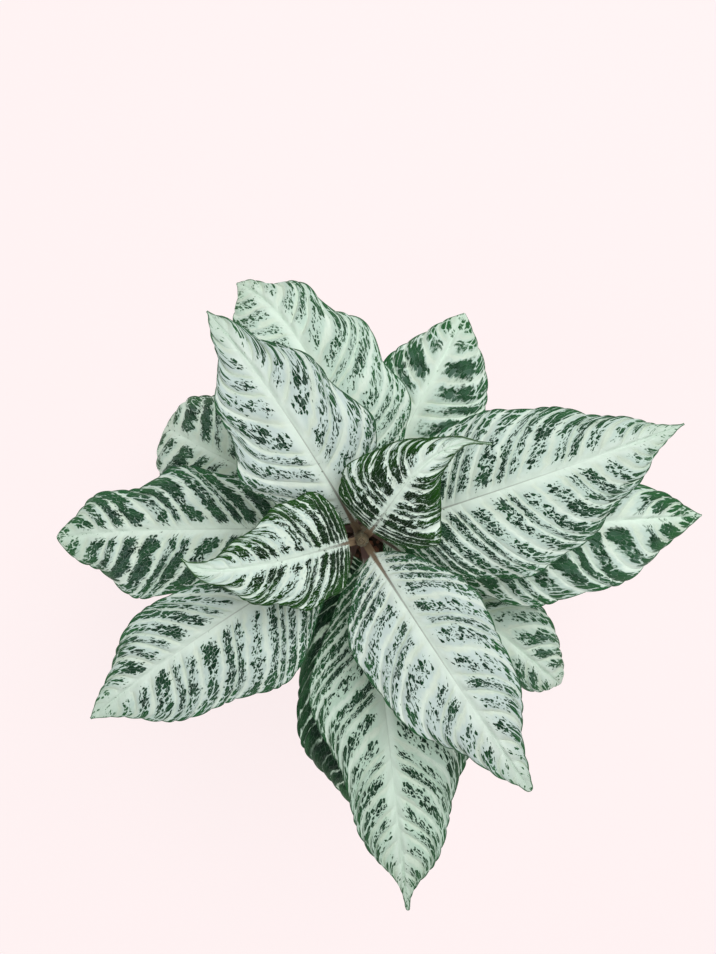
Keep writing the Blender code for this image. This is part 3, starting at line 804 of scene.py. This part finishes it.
def lay_pattern(paint, leaf):
    """Where the leaf is green, and the fields that its colours are made of.

    The ridge is 1 midway between two veins and 0 on them. The blade is laid out in small cells,
    and the ridge is read partly at the middle of the point's cell, so that whole cells are green
    or white. Chance and cloudy noise are added. The threshold falls towards the margin and the
    base, and rises at the midrib, along a loop of vein beside the margin and, on flecked leaves,
    at the tip. Minor veins midway between two veins split the stripes, and near the margin of all
    but the youngest leaves a net of larger, round cells does."""
    number, out = paint.uv("veins")
    along, edge = paint.uv("blade")
    seed, fresh, solid = leaf.azimuth, leaf.fresh, leaf.solid

    def field(per_vein, per_mm, turn=1, **more):
        """Noise that follows the veins, with its pace from vein to vein and along each of them."""
        place = paint.vector(number * per_vein + turn * seed, out * per_mm)
        return paint.noise(place, flat=True, **more)

    drift = field(0.7, 0.09, detail=1)
    warp = field(3, 0.35, turn=-1, detail=3)
    patchy = field(0.6, 0.07, turn=-1, detail=1)
    cloud = field(1.5, 0.16, detail=3)
    fine = field(8, 0.5, detail=4, roughness=0.65)

    shifted = number + drift * 0.4 + warp * (0.3 + 0.5 * fresh)
    size = 0.85 - 0.4 * solid + 0.4 * fresh  # small cells in a millimetre
    per_vein = leaf.reach / leaf.veins * size
    laid = paint.vector(shifted * per_vein + fine * 0.6, out * size * 0.8 + warp * 0.8)
    middle, chance, grey = paint.cell(laid)
    net = paint.cells(laid, flat=True)
    between = shifted.ridge()
    whole = (middle / per_vein).ridge()
    minor = (shifted * 2 + 0.5).ridge()

    at_midrib = out.step(CLEAR_BAND - 3 * fresh, 1.0) * along.step(1.2, 0.6)
    at_margin = edge.step(10, 0.8)
    at_base = along.step(0.34, 0.02)
    at_tip = along.step(0.72 - 0.35 * fresh, 1.0 - 0.1 * fresh)
    line = (edge + drift * 1.5 - LOOP_PLACE) / LOOP_HALF_WIDTH
    loop = 2.718 ** (-1 * line * line)  # a bell curve
    threshold = 1.05 - leaf.green + at_midrib * 0.8 - at_margin * 0.17
    threshold = threshold + at_tip * (0.28 - 0.35 * solid + 0.35 * fresh)
    threshold = threshold - at_base * 0.4 + loop * 0.45 * (1 - 0.6 * fresh)

    own = 0.6 + 0.3 * solid
    ridge = between * own + whole * (1 - own)
    plateau = (ridge * (1.5 + 0.3 * at_margin + cloud * 1.5)).clamped()
    speckle = fine * (1.6 - 0.9 * solid + 0.9 * fresh)
    marks = plateau * 0.95 + patchy * (0.9 + 0.5 * solid) - threshold + speckle
    marks = marks + (chance - 0.5) * (0.55 - 0.35 * solid) + (net - 0.15) * (1.1 - 0.5 * solid)
    marks = marks - minor.step(0.80, 0.97) * (0.15 + fresh * (0.15 + cloud * 1.5))
    lobes = paint.cells(paint.vector(shifted * 2 + seed, out * 0.3 + warp * 0.6), flat=True)
    netted = edge.step(NETTED_BAND, 5) * (1 - leaf.green**2) * (1 - fresh)
    marks = marks + (0.2 - lobes.step(0.14, 0.04) * 0.6) * netted
    return Pattern(out, along, edge, marks, between, net, cloud, patchy, grey)


def white_ground(paint, leaf, settings, pattern):
    """Silver between the veins and cream along them, with mint in both towards the tip, clouds of
    light and dark, a halo of mint round the green, and painted shade: an olive tint in the creases
    along the veins near the midrib."""
    at_tip = pattern.along.step(LIGHT_TIP, 1.0)
    silver = paint.mix(settings.silver, settings.mint, at_tip * 0.6 + 0.75 * leaf.mint)
    cream = paint.mix(settings.cream, settings.mint, at_tip * 0.5 + 0.25 * leaf.mint)
    at_midrib = pattern.out.step(CLEAR_BAND + 1 - 4 * leaf.fresh, 1.0)
    veiny = pattern.between.step(0.42, 0.05).math("MAXIMUM", at_midrib * 0.9)
    # Painted light: each leaf's tone lightens the whites of shaded leaves and darkens those of the
    # well-lit second pair.
    white = paint.tint(paint.mix(silver, cream, veiny), leaf.tone + pattern.cloud * 0.22)
    halo = pattern.marks.step(-0.5, 0.0) * (0.22 + 0.1 * leaf.mint)
    white = paint.mix(white, settings.mint, halo)
    # Painted shade: olive darkening along the vein creases near the midrib, strongest on each vein.
    crease_shade = pattern.between.step(0.5, 0.0) * pattern.out.step(1.2, 4) * pattern.out.step(22, 7)
    return paint.mix(white, settings.olive, crease_shade * 0.2 * (1 - 0.6 * leaf.fresh))


def green_markings(paint, leaf, settings, pattern):
    """Dark green, greyer under a film and in some small cells, and lighter in clouds and towards
    the margin and the tip."""
    deep = settings.young if leaf.fresh else settings.dark
    film = (pattern.marks * 1.2 + pattern.cloud * 1.5 - 0.2).clamped() * leaf.film
    grey_cells = pattern.grey.step(0.55, 0.9) * (0.1 + leaf.film) * (1 - leaf.fresh)
    deep = paint.mix(deep, settings.film, film.math("MAXIMUM", grey_cells))
    light = settings.young_light if leaf.fresh else settings.light
    at_margin = pattern.edge.step(LIGHT_BAND, 1)
    at_tip = pattern.along.step(LIGHT_TIP, 1.0)
    lighter = 0.05 + 0.6 * leaf.film * (1 - leaf.fresh)
    lightness = (at_margin * 0.6 + at_tip * 0.6 + pattern.cloud * 1.2 + lighter).clamped()
    return paint.mix(deep, light, lightness)


def midrib_line(leaf, out, along):
    """Strength of the thin line along the midrib, which narrows and fades towards the tip."""
    width = along.step(0.3, -0.06) * 0.7 + 0.3
    older = 0.5 if leaf.pair > 3 else 1 - 0.5 * leaf.fresh
    fading = along.step(0.25, 0) * 0.35 + along.step(0.75, 0.2) * 0.45 * older
    return (out / width).step(1.1, 0.6) * fading


def petiole_wedge(leaf, out, along):
    """Strength of the wedge in which the petiole's brown runs on along the midrib."""
    width = along.step(0.15 - 0.06 * leaf.fresh, -0.03) * (1.3 - 0.6 * leaf.fresh) + 0.25
    return (out / width).step(1.2, 0.6) * along.step(0.18 - 0.08 * leaf.fresh, 0.02) * 0.8


def leaf_look(leaf, settings):
    """White ground with green markings between the veins, as lay_pattern says, and a green rim.
    A nearly green leaf has thin pale veins. A brown line runs along the midrib, the petiole is
    brown, and all but the petiole is paler from below."""
    paint = Paint(leaf.name + "_blade", roughness=0.42, specular=0.08)
    pattern = lay_pattern(paint, leaf)
    soft = 0.03 + (0.03 + 0.15 * leaf.solid) * (1 - leaf.fresh)
    green = pattern.marks.step(-soft, soft)
    green = green * (1 - pattern.net.step(0.05, 0.015) * (0.4 - 0.3 * leaf.solid))
    rim = pattern.edge.step(GREEN_RIM + 0.6 * pattern.patchy, 0.3) * 0.9
    green = green.math("MAXIMUM", rim)
    white = white_ground(paint, leaf, settings, pattern)
    colour = paint.mix(white, green_markings(paint, leaf, settings, pattern), green)
    thin_vein = pattern.between.step(0.22, 0.02) * (0.5 * leaf.green**4)
    colour = paint.mix(colour, settings.mint, thin_vein)

    line = midrib_line(leaf, pattern.out, pattern.along)
    colour = paint.mix(colour, settings.brown, line)
    petiole = pattern.along.step(0.012, -0.012)
    brown = petiole.math("MAXIMUM", petiole_wedge(leaf, pattern.out, pattern.along))
    colour = paint.mix(colour, settings.shoot if leaf.pair < 3 else settings.stalk, brown)
    pale = paint.mix(colour, settings.underside, 0.72 * (1 - petiole))
    colour = paint.mix(colour, pale, paint.attribute("under"))

    grain = paint.noise(paint.place(), scale=2600)
    sunk = pattern.between.step(0.16, 0.0) * 0.8
    height = grain * 0.25 - sunk - pattern.net.step(0.10, 0.0) * 0.2 - line * 0.6
    roughness = 0.46 + grain * 0.1 + green * 0.05 - 0.06 * leaf.fresh
    return paint.finish(colour, roughness, height, 0.14 * MM)


def turned(radius, height, sides, wobble=None):
    """A profile turned round the Z axis: rings of points from arrays of radius and height, and
    faces between them with their outer side to the profile's right. An end on the axis closes."""
    angle = np.linspace(0, 2 * np.pi, sides, endpoint=False)[None, :]
    r = radius[:, None] + (0 * angle if wobble is None else wobble(height[:, None], angle))
    r = np.where(radius[:, None] <= 0, 0, r)
    ring = np.stack([r * np.cos(angle), r * np.sin(angle), height[:, None] + 0 * r], axis=2)
    index = np.arange(ring.shape[0] * sides).reshape(-1, sides)
    for end in (0, -1):
        if radius[end] <= 0:
            index[end] = index[end, 0]
    index = np.concatenate([index, index[:, :1]], axis=1)
    return ring.reshape(-1, 3), quads(index)


def waves_of(x, y, wavelength, seed, octaves, fading):
    """Smooth random height on a plane, about -1 to 1: for each octave a sum of eight plane waves
    in random directions, and each octave has half the wavelength of the one before it and a share,
    called fading, of its height."""
    random = np.random.default_rng(seed)
    height, strength = 0 * x, 1.0
    for octave in range(octaves):
        turn = random.uniform(0, 2 * np.pi, (8, 2))
        pace = 2 * np.pi / (wavelength * 0.5**octave)
        ways = np.stack([np.cos(turn[:, 0]), np.sin(turn[:, 0])], axis=1) * pace
        sums = ways[:, 0, None] * x.ravel() + ways[:, 1, None] * y.ravel() + turn[:, 1, None]
        height = height + strength * 0.5 * np.sin(sums).sum(axis=0).reshape(x.shape)
        strength *= fading
    return height / 1.75


def add_stem(settings):
    """The stem's radius along its height: a straight taper, with a swelling under each pair of
    leaves that rises and falls in smooth steps, and a round top. Round it run two sets of fine
    ridges, which are sines of the angle that twist a little with the height."""
    top = PAIR_HEIGHTS[0] + BUD_HEIGHT * 0.35
    height = np.linspace(STEM_LOW.z, top, settings.rows)
    radius = stem_radius(height)
    for node in PAIR_HEIGHTS:
        rise = smooth_step((height - node + NODE_BELOW + NODE_SHOULDER) / NODE_SHOULDER)
        fall = smooth_step((node + NODE_ABOVE + NODE_SHOULDER - height) / NODE_SHOULDER)
        radius = radius + NODE_SWELL * rise * fall
    dome = np.linspace(0, 1, 8)[1:]
    radius = np.concatenate([[0], radius, radius[-1] * np.sqrt(1 - dome**2)])
    height = np.concatenate([[height[0]], height, height[-1] + dome * STEM_DOME])
    radius[-1] = 0

    def ridges(z, angle):
        """Nine ridges round the stem and seventeen lower ones, twisted by the height."""
        return settings.ridge * (np.sin(9 * angle + 40 * z) + 0.6 * np.sin(17 * angle - 25 * z))

    points, faces = turned(radius, height, settings.sides, ridges)
    add_piece("ridged_stem", points, faces, stem_look(settings), replaces=["stem"])


def stem_look(settings):
    """Brown bark with pale streaks along the stem and small warts, olive towards the top."""
    paint = Paint("stem_bark", roughness=0.6)
    place = paint.place()
    height = paint.parts(place)[2]
    streak = paint.noise(paint.scaled(place, (1, 1, 0.22)), scale=900, detail=4, roughness=0.6)
    spots = paint.cells(paint.scaled(place, (1, 1, 0.7)), scale=520, feature="F1")
    young = height.step(0.17, 0.25)
    colour = paint.mix(settings.bark, settings.shoot, young)
    colour = paint.tint(colour, 1 + streak * 1.3)
    wart = spots.step(0.22, 0.1) * (1 - young)
    colour = paint.mix(colour, settings.wart, wart * 0.7)
    return paint.finish(colour, 0.62 - streak * 0.3, streak * 0.8 + wart * 0.5, 0.25 * MM)


def add_bud(settings):
    """The folded leaves of the bud: pointed scales that stand round the stem's top in crossed
    pairs. A scale is a grid over its length v and its width u: its middle line leans outwards
    from the axis and its sides wrap inwards round it, and its half width grows and ends like
    sin(pi v) to the power 0.6. Each scale is closed with a second face inside it."""
    u = np.linspace(-1, 1, 13)[None, :]
    v = np.linspace(0.02, 0.98, 15)[:, None]
    points, faces, count = [], [], 0
    base = PAIR_HEIGHTS[0] + 0.5 * MM
    for pair, (turn, length, width, lean, root) in enumerate(BUD_SCALES):
        for opposite in (0, 180):
            half = width * MM * np.sin(np.pi * v) ** 0.6
            wrap = u * SCALE_WRAP * (1 - 0.3 * v)
            radius = root * MM + lean * length * MM * v**1.5 + 0 * u
            outer = radius + half * (np.cos(wrap) - 0.4)
            side = half * np.sin(wrap) / np.sin(SCALE_WRAP)
            z = base + pair * SCALE_RISE + length * MM * v + 0 * u
            for depth in (0, SCALE_THICKNESS):
                out = outer - depth * np.sin(np.pi * v) * (1 - u**2 * 0.6)
                points.append(spun(out, side, z, turn + opposite))
            index = count + np.arange(v.size * u.size).reshape(v.size, u.size)
            faces += [quads(index), quads(index + index.size)[:, ::-1]]
            rim = np.concatenate([index[:, 0], index[-1, 1:], index[-2::-1, -1], index[0, -2::-1]])
            faces.append(quads(np.stack([rim, rim + index.size])))
            count += 2 * index.size
    look = bud_look(settings)
    add_piece("bud", np.concatenate(points), np.concatenate(faces), look, sharp=70)


def bud_look(settings):
    """Brown with streaks along the scales and green patches."""
    paint = Paint("bud_scales", roughness=0.5)
    place = paint.place()
    streak = paint.noise(paint.scaled(place, (1, 1, 0.3)), scale=1400, detail=3)
    colour = paint.tint(settings.bud, 1 + streak * 1.6)
    patches = paint.noise(place, scale=700).step(0.08, 0.2) * 0.6
    colour = paint.mix(colour, settings.bud_green, patches)
    return paint.finish(colour, 0.5 + streak * 0.3, streak, 0.12 * MM)


def spun(out, side, z, degrees):
    """Points at a distance out from the Z axis and to the side of it, turned round the axis."""
    a = math.radians(degrees)
    x = out * math.cos(a) - side * math.sin(a)
    y = out * math.sin(a) + side * math.cos(a)
    return np.stack([x, y, z], axis=-1).reshape(-1, 3)


def soil_rise(x, y, settings):
    """Height of the soil's top over its edge: a mound towards the stem, and lumps in four sizes
    that are lower at the pot's wall."""
    radius = np.hypot(x, y) / SOIL_HIGH.x
    mound = SOIL_MOUND * (1 - radius**2)
    lumps = waves_of(x, y, 16 * MM, seed=3, octaves=4, fading=0.62) * settings.lumps
    return mound + lumps * (1 - smooth_step((radius - 0.9) / 0.1) * 0.6)


def add_soil(settings):
    """A turned surface: out under the stem, up the hole round it, over the lumpy top to the pot's
    wall, down the wall and in to the axis underneath. Only the top has lumps."""
    sides, rings = 168, 66
    hole = STEM_FOOT_RADIUS + GAP
    across = np.linspace(0, 1, rings)
    top_radius = hole + (SOIL_HIGH.x - hole) * across
    radius = np.concatenate([[0, hole], top_radius, [SOIL_FOOT_RADIUS, 0]])
    height = np.concatenate([[STEM_LOW.z - GAP] * 2, 0 * across + SOIL_TOP, [SOIL_LOW.z] * 2])
    points, faces = turned(radius, height, sides)
    on_top = np.repeat(np.isin(np.arange(radius.size), np.arange(2, rings + 2)), sides)
    points[:, 2] += soil_rise(points[:, 0], points[:, 1], settings) * on_top
    look = soil_look(settings)
    add_piece("lumpy_soil", points, faces[:, ::-1], look, replaces=["soil"], sharp=60)


def soil_look(settings):
    """Dark peat with clouds of dry crumbs, and with small lighter grains in the clouds."""
    paint = Paint("potting_soil", roughness=0.95, specular=0.2)
    place = paint.place()
    grains = paint.cells(place, scale=620, feature="F1")
    coarse = paint.noise(place, scale=160, detail=5, roughness=0.7)
    colour = paint.mix(settings.peat, settings.crumb, (coarse * 2 + 0.35).clamped())
    light_grains = grains.step(0.25, 0.1) * coarse.step(-0.05, 0.2)
    colour = paint.mix(colour, settings.grain, light_grains)
    height = coarse + grains.step(0.6, 0.0) * 0.5
    return paint.finish(colour, 0.95 - grains * 0.2, height, 0.9 * MM)


def add_bark(settings):
    """Pieces of bark and fibre that lie on the soil. A piece is a flattened lump: the unit ball's
    grid, drawn out to its length, width and thickness, and made angular by powers under 1 of the
    sines and cosines. It is turned at random and sunk a little into the soil."""
    random = np.random.default_rng(11)
    count = settings.chips
    lat = np.linspace(-np.pi / 2, np.pi / 2, 5)
    lon = np.linspace(0, 2 * np.pi, 6, endpoint=False)

    def bent(value):
        """The value's size to the power 0.7, with its own sign."""
        return np.sign(value) * np.abs(value) ** 0.7

    ball = np.stack([
        bent(np.cos(lat))[:, None] * bent(np.cos(lon))[None],
        bent(np.cos(lat))[:, None] * bent(np.sin(lon))[None],
        bent(np.sin(lat))[:, None] + 0 * lon[None],
    ], axis=2)
    length = settings.chip * random.uniform(0.3, 1, count) ** 1.6
    size = np.stack([
        length / 2,
        length * random.uniform(0.18, 0.42, count),
        length * random.uniform(0.08, 0.2, count),
    ], axis=1)
    shape = ball[None] * size[:, None, None] * random.uniform(0.75, 1.2, (count, *ball.shape))
    shape[:, [0, -1]] = shape[:, [0, -1]].mean(axis=2, keepdims=True)
    tilt = random.normal(0, 0.35, count)[:, None, None]
    turn = random.uniform(0, 2 * np.pi, count)[:, None, None]
    x, y, z = shape[..., 0], shape[..., 1], shape[..., 2]
    x, z = x * np.cos(tilt) - z * np.sin(tilt), x * np.sin(tilt) + z * np.cos(tilt)
    x, y = x * np.cos(turn) - y * np.sin(turn), x * np.sin(turn) + y * np.cos(turn)
    inner, outer = STEM_FOOT_RADIUS + 4 * MM, SOIL_HIGH.x - settings.chip * 0.6
    away = np.sqrt(random.uniform(inner**2, outer**2, count))
    angle = random.uniform(0, 2 * np.pi, count)
    east, north = away * np.cos(angle), away * np.sin(angle)
    ground = SOIL_TOP + soil_rise(east, north, settings) + size[:, 2] * 0.5
    points = np.stack([
        x + east[:, None, None], y + north[:, None, None], z + ground[:, None, None],
    ], axis=3).reshape(-1, 3)
    index = np.arange(lat.size * lon.size).reshape(lat.size, lon.size)
    index[0], index[-1] = index[0, 0], index[-1, 0]
    one = quads(np.concatenate([index, index[:, :1]], axis=1))
    faces = (one[None] + np.arange(count)[:, None, None] * index.size).reshape(-1, 4)
    shade = np.repeat(random.uniform(0, 1, count), index.size)
    add_piece(
        "bark_pieces", points, faces, bark_look(settings), values={"shade": shade}, sharp=35
    )


def bark_look(settings):
    """Reddish bark, each piece with its own shade, streaked along by stretched noise."""
    paint = Paint("bark", roughness=0.85, specular=0.3)
    place = paint.place()
    shade = paint.attribute("shade")
    fibre = paint.noise(paint.scaled(place, (1, 0.35, 1)), scale=900, detail=4, roughness=0.65)
    colour = paint.mix(settings.peat, settings.bark, (shade * 0.9 + 0.15).clamped())
    colour = paint.tint(colour, 1 + fibre * 1.6)
    return paint.finish(colour, 0.85 + fibre * 0.3, fibre, 0.4 * MM)


def rounded(corners, steps=6):
    """A profile through corners, each a radius, a height and how far it is rounded: the corner is
    replaced by a quadratic curve from a point that far before it to a point that far after it, at
    most a third of the way to its neighbours."""
    corners = np.array(corners, float)
    corners, radii = corners[:, :2], corners[:, 2]
    profile = [corners[:1]]
    t = np.linspace(0, 1, steps)[:, None]
    for k in range(1, len(corners) - 1):
        here = corners[k]
        ends = []
        for other in (corners[k - 1], corners[k + 1]):
            reach = min(radii[k], np.linalg.norm(other - here) / 3)
            ends.append(here + (other - here) / np.linalg.norm(other - here) * reach)
        profile.append((1 - t) ** 2 * ends[0] + 2 * t * (1 - t) * here + t**2 * ends[1])
    profile.append(corners[-1:])
    return np.concatenate(profile)


def filled(profile, longest):
    """Adds evenly spaced points so that no step along the profile is longer than a length."""
    pieces = []
    for a, b in zip(profile[:-1], profile[1:]):
        count = max(1, math.ceil(np.linalg.norm(b - a) / longest))
        pieces.append(a + (b - a) * np.linspace(0, 1, count, endpoint=False)[:, None])
    return np.concatenate(pieces + [profile[-1:]])


def add_pot(settings):
    """A profile turned round the axis: out under the pot, up the tapered body, round the rolled
    rim, down the inside and in over the floor. Faint rings, as a wheel leaves them, run round it,
    and three drain holes go through the floor."""
    height, top, base = POT_HIGH.z, POT_HIGH.x, POT_BASE_RADIUS
    shoulder = top - settings.step
    rim_foot = height - settings.rim

    def body(z):
        """The body's radius at a height: a straight taper."""
        return base + (shoulder - base) * z / height

    profile = rounded([
        (0, 0, 0),
        (base - 6 * MM, 0, 0),
        (base, 0, 2.0 * MM),
        (body(rim_foot), rim_foot, 0.8 * MM),
        (top - 0.3 * MM, rim_foot, 1.6 * MM),
        (top, rim_foot + 4 * MM, 1.2 * MM),
        (top, height, 2.2 * MM),
        (body(height) - settings.wall, height, 2.0 * MM),
        (body(settings.floor) - settings.wall, settings.floor, 4.0 * MM),
        (0, settings.floor, 0),
    ])
    profile = filled(profile, 1.6 * MM)

    def rings(z, angle):
        """Fine wavy rings, and a slow swelling that grows with the height. Both fade at the foot
        and at the rim's top."""
        fine = 0.10 * np.sin(z / MM * 2.1 + 0.6 * np.sin(angle))
        slow = 0.22 * np.sin(2 * angle + 30 * z) * (z / height)
        return (fine + slow) * MM * smooth_step(z / (6 * MM)) * smooth_step((height - z) / (2 * MM))

    points, faces = turned(profile[:, 0], profile[:, 1], 144, rings)
    look = pot_look(settings)
    pot = add_piece("clay_pot", points, faces, look, replaces=["pot"])
    depth = np.array([-1, -1, 1, 1]) * settings.floor * 1.5
    points, faces = turned(np.array([0, 1, 1, 0]) * settings.drain, depth, 40)
    holes = [points + direction(angle, 0) * DRAIN_CIRCLE for angle in (0, 120, 240)]
    faces = [faces + k * len(points) for k in range(3)]
    drill(pot, np.concatenate(holes), np.concatenate(faces))


def drill(piece, points, faces):
    """Cuts closed shapes out of a piece and leaves only the cut piece."""
    mesh = make_mesh("drill", points, faces)[0]
    cutter = add_object("drill", mesh)
    cut = piece.modifiers.new("Drain", "BOOLEAN")
    cut.object = cutter
    shape = piece.evaluated_get(bpy.context.evaluated_depsgraph_get())
    drilled = bpy.data.meshes.new_from_object(shape)
    drilled.set_sharp_from_angle(angle=math.radians(50))
    piece.modifiers.clear()
    uncut, piece.data = piece.data, drilled
    bpy.data.meshes.remove(uncut)
    bpy.data.meshes.remove(mesh)


def pot_look(settings):
    """Terracotta with lighter dry patches, smears of chalky bloom that gather low on the body,
    dark specks, and a fine sandy grain."""
    paint = Paint("terracotta", roughness=0.85, specular=0.25)
    place = paint.place()
    height = paint.parts(place)[2]
    cloud = paint.noise(place, scale=28, detail=5, roughness=0.6)
    smear = paint.noise(paint.scaled(place, (1, 1, 3)), scale=70, detail=4, roughness=0.65)
    grain = paint.noise(place, scale=2200, detail=3, roughness=0.6)
    specks = paint.cells(place, scale=900, feature="F1")
    colour = paint.mix(settings.clay, settings.pale, (cloud * 1.8 + 0.4).clamped())
    low = height.step(0.055, 0.01)
    bloom = (smear * 2.2 + low * 0.45 - 0.12).clamped()
    colour = paint.mix(colour, settings.bloom, bloom * 0.55)
    dark_specks = specks.step(0.16, 0.08) * smear.step(0.0, 0.2) * 0.6
    colour = paint.mix(colour, settings.speck, dark_specks)
    colour = paint.tint(colour, 1 + grain * 0.35)
    return paint.finish(colour, 0.86 + grain * 0.2, grain * 0.7 + smear * 0.6, 0.22 * MM)


def add_light(name, place, power):
    """A round area light that faces the plant."""
    data = bpy.data.lights.new(name, "AREA")
    data.energy = power
    data.shape = "DISK"
    data.size = LIGHT_SIZE
    light = add_object(name, data)
    light.location = place
    aim = np.subtract(LIT_POINT, place)
    level = math.hypot(aim[0], aim[1])
    light.rotation_euler = (math.atan2(level, -aim[2]), 0, math.atan2(aim[1], aim[0]) - math.pi / 2)


def add_floor(settings):
    """A round sheet of pale paper, from its middle out to a far edge, a hair below the pot."""
    radius = np.array(FLOOR_RINGS)
    points, faces = turned(radius, 0 * radius - 0.05 * MM, 64)
    mesh = make_mesh("paper_floor", points, faces)[0]
    paint = Paint("paper", roughness=0.9, specular=0.1)
    grain = paint.noise(paint.place(), scale=300, detail=3)
    paint.feed(paint.shader.inputs["Emission Strength"], PAPER_GLOW)
    paint.feed(paint.shader.inputs["Emission Color"], settings.paper)
    shade = tuple(PAPER_SHADE * c for c in settings.paper)
    mesh.materials.append(paint.finish(paint.tint(shade, 1 + grain * 0.05)))
    floor = add_object("paper_floor", mesh)


def add_world(settings):
    """The same soft light from all round."""
    world = bpy.data.worlds.new("soft_sky")
    world.use_nodes = True
    sky = world.node_tree.nodes["Background"]
    sky.inputs["Color"].default_value = (1, 1, 1, 1)
    sky.inputs["Strength"].default_value = settings.sky
    bpy.context.scene.world = world


def add_camera(settings):
    """The camera hangs over the plant and looks straight down."""
    data = bpy.data.cameras.new("overhead")
    data.lens = settings.lens
    data.clip_start = 0.01
    camera = add_object("overhead", data)
    camera.location = (settings.east, settings.north, settings.height)
    bpy.context.scene.camera = camera


class AddStage(bpy.types.Operator):
    """Add the camera, the lights and the pale floor"""

    bl_idname = "zebra_plant.add_stage"
    bl_label = "Stage"

    def execute(self, context):
        settings = context.scene.zebra_stage
        context.scene.view_settings.view_transform = "Standard"
        add_camera(settings)
        add_floor(settings)
        add_world(settings)
        for name, (place, share) in LIGHTS.items():
            add_light(name, place, settings.key * share)
        return {"FINISHED"}


class AddLeaves(bpy.types.Operator):
    """Add all striped leaves in place of the plain ones"""

    bl_idname = "zebra_plant.add_leaves"
    bl_label = "Leaves"

    def execute(self, context):
        for leaf in LEAVES:
            add_leaf(leaf, context.scene.zebra_leaf)
        return {"FINISHED"}


class AddStem(bpy.types.Operator):
    """Add the ridged stem"""

    bl_idname = "zebra_plant.add_stem"
    bl_label = "Stem"

    def execute(self, context):
        add_stem(context.scene.zebra_stem)
        return {"FINISHED"}


class AddBud(bpy.types.Operator):
    """Add the bud on the stem's top"""

    bl_idname = "zebra_plant.add_bud"
    bl_label = "Bud"

    def execute(self, context):
        add_bud(context.scene.zebra_stem)
        return {"FINISHED"}


class AddSoil(bpy.types.Operator):
    """Add the lumpy soil"""

    bl_idname = "zebra_plant.add_soil"
    bl_label = "Soil"

    def execute(self, context):
        add_soil(context.scene.zebra_soil)
        return {"FINISHED"}


class AddBark(bpy.types.Operator):
    """Add the pieces of bark that lie on the soil"""

    bl_idname = "zebra_plant.add_bark"
    bl_label = "Bark"

    def execute(self, context):
        add_bark(context.scene.zebra_soil)
        return {"FINISHED"}


class AddPot(bpy.types.Operator):
    """Add the clay pot"""

    bl_idname = "zebra_plant.add_pot"
    bl_label = "Clay pot"

    def execute(self, context):
        add_pot(context.scene.zebra_pot)
        return {"FINISHED"}


# The settings' name in the scene, their class, and the operators that read them
GROUPS = [
    ("zebra_stage", StageSettings, [AddStage]),
    ("zebra_leaf", LeafSettings, [AddLeaves]),
    ("zebra_stem", StemSettings, [AddStem, AddBud]),
    ("zebra_soil", SoilSettings, [AddSoil, AddBark]),
    ("zebra_pot", PotSettings, [AddPot]),
]


class ZebraPlantPanel(bpy.types.Panel):
    """Buttons and settings of the zebra plant"""

    bl_idname = "VIEW3D_PT_zebra_plant"
    bl_label = "Zebra Plant"
    bl_space_type = "VIEW_3D"
    bl_region_type = "UI"
    bl_category = "Zebra Plant"

    def draw(self, context):
        for name, _, operators in GROUPS:
            box = self.layout.box()
            for operator in operators:
                box.operator(operator.bl_idname)
            settings = getattr(context.scene, name)
            for field in settings.bl_rna.properties:
                if field.identifier not in ("rna_type", "name"):
                    box.prop(settings, field.identifier)


def register():
    for name, settings, operators in GROUPS:
        for made in (settings, *operators):
            bpy.utils.register_class(made)
        setattr(bpy.types.Scene, name, bpy.props.PointerProperty(type=settings))
    bpy.utils.register_class(ZebraPlantPanel)


def unregister():
    bpy.utils.unregister_class(ZebraPlantPanel)
    for name, settings, operators in GROUPS:
        delattr(bpy.types.Scene, name)
        for made in (settings, *operators):
            bpy.utils.unregister_class(made)


def main():
    register()
    bpy.ops.zebra_plant.add_stage()
    bpy.ops.zebra_plant.add_leaves()
    bpy.ops.zebra_plant.add_stem()
    bpy.ops.zebra_plant.add_bud()
    bpy.ops.zebra_plant.add_soil()
    bpy.ops.zebra_plant.add_bark()
    bpy.ops.zebra_plant.add_pot()


if __name__ == "__main__":
    main()
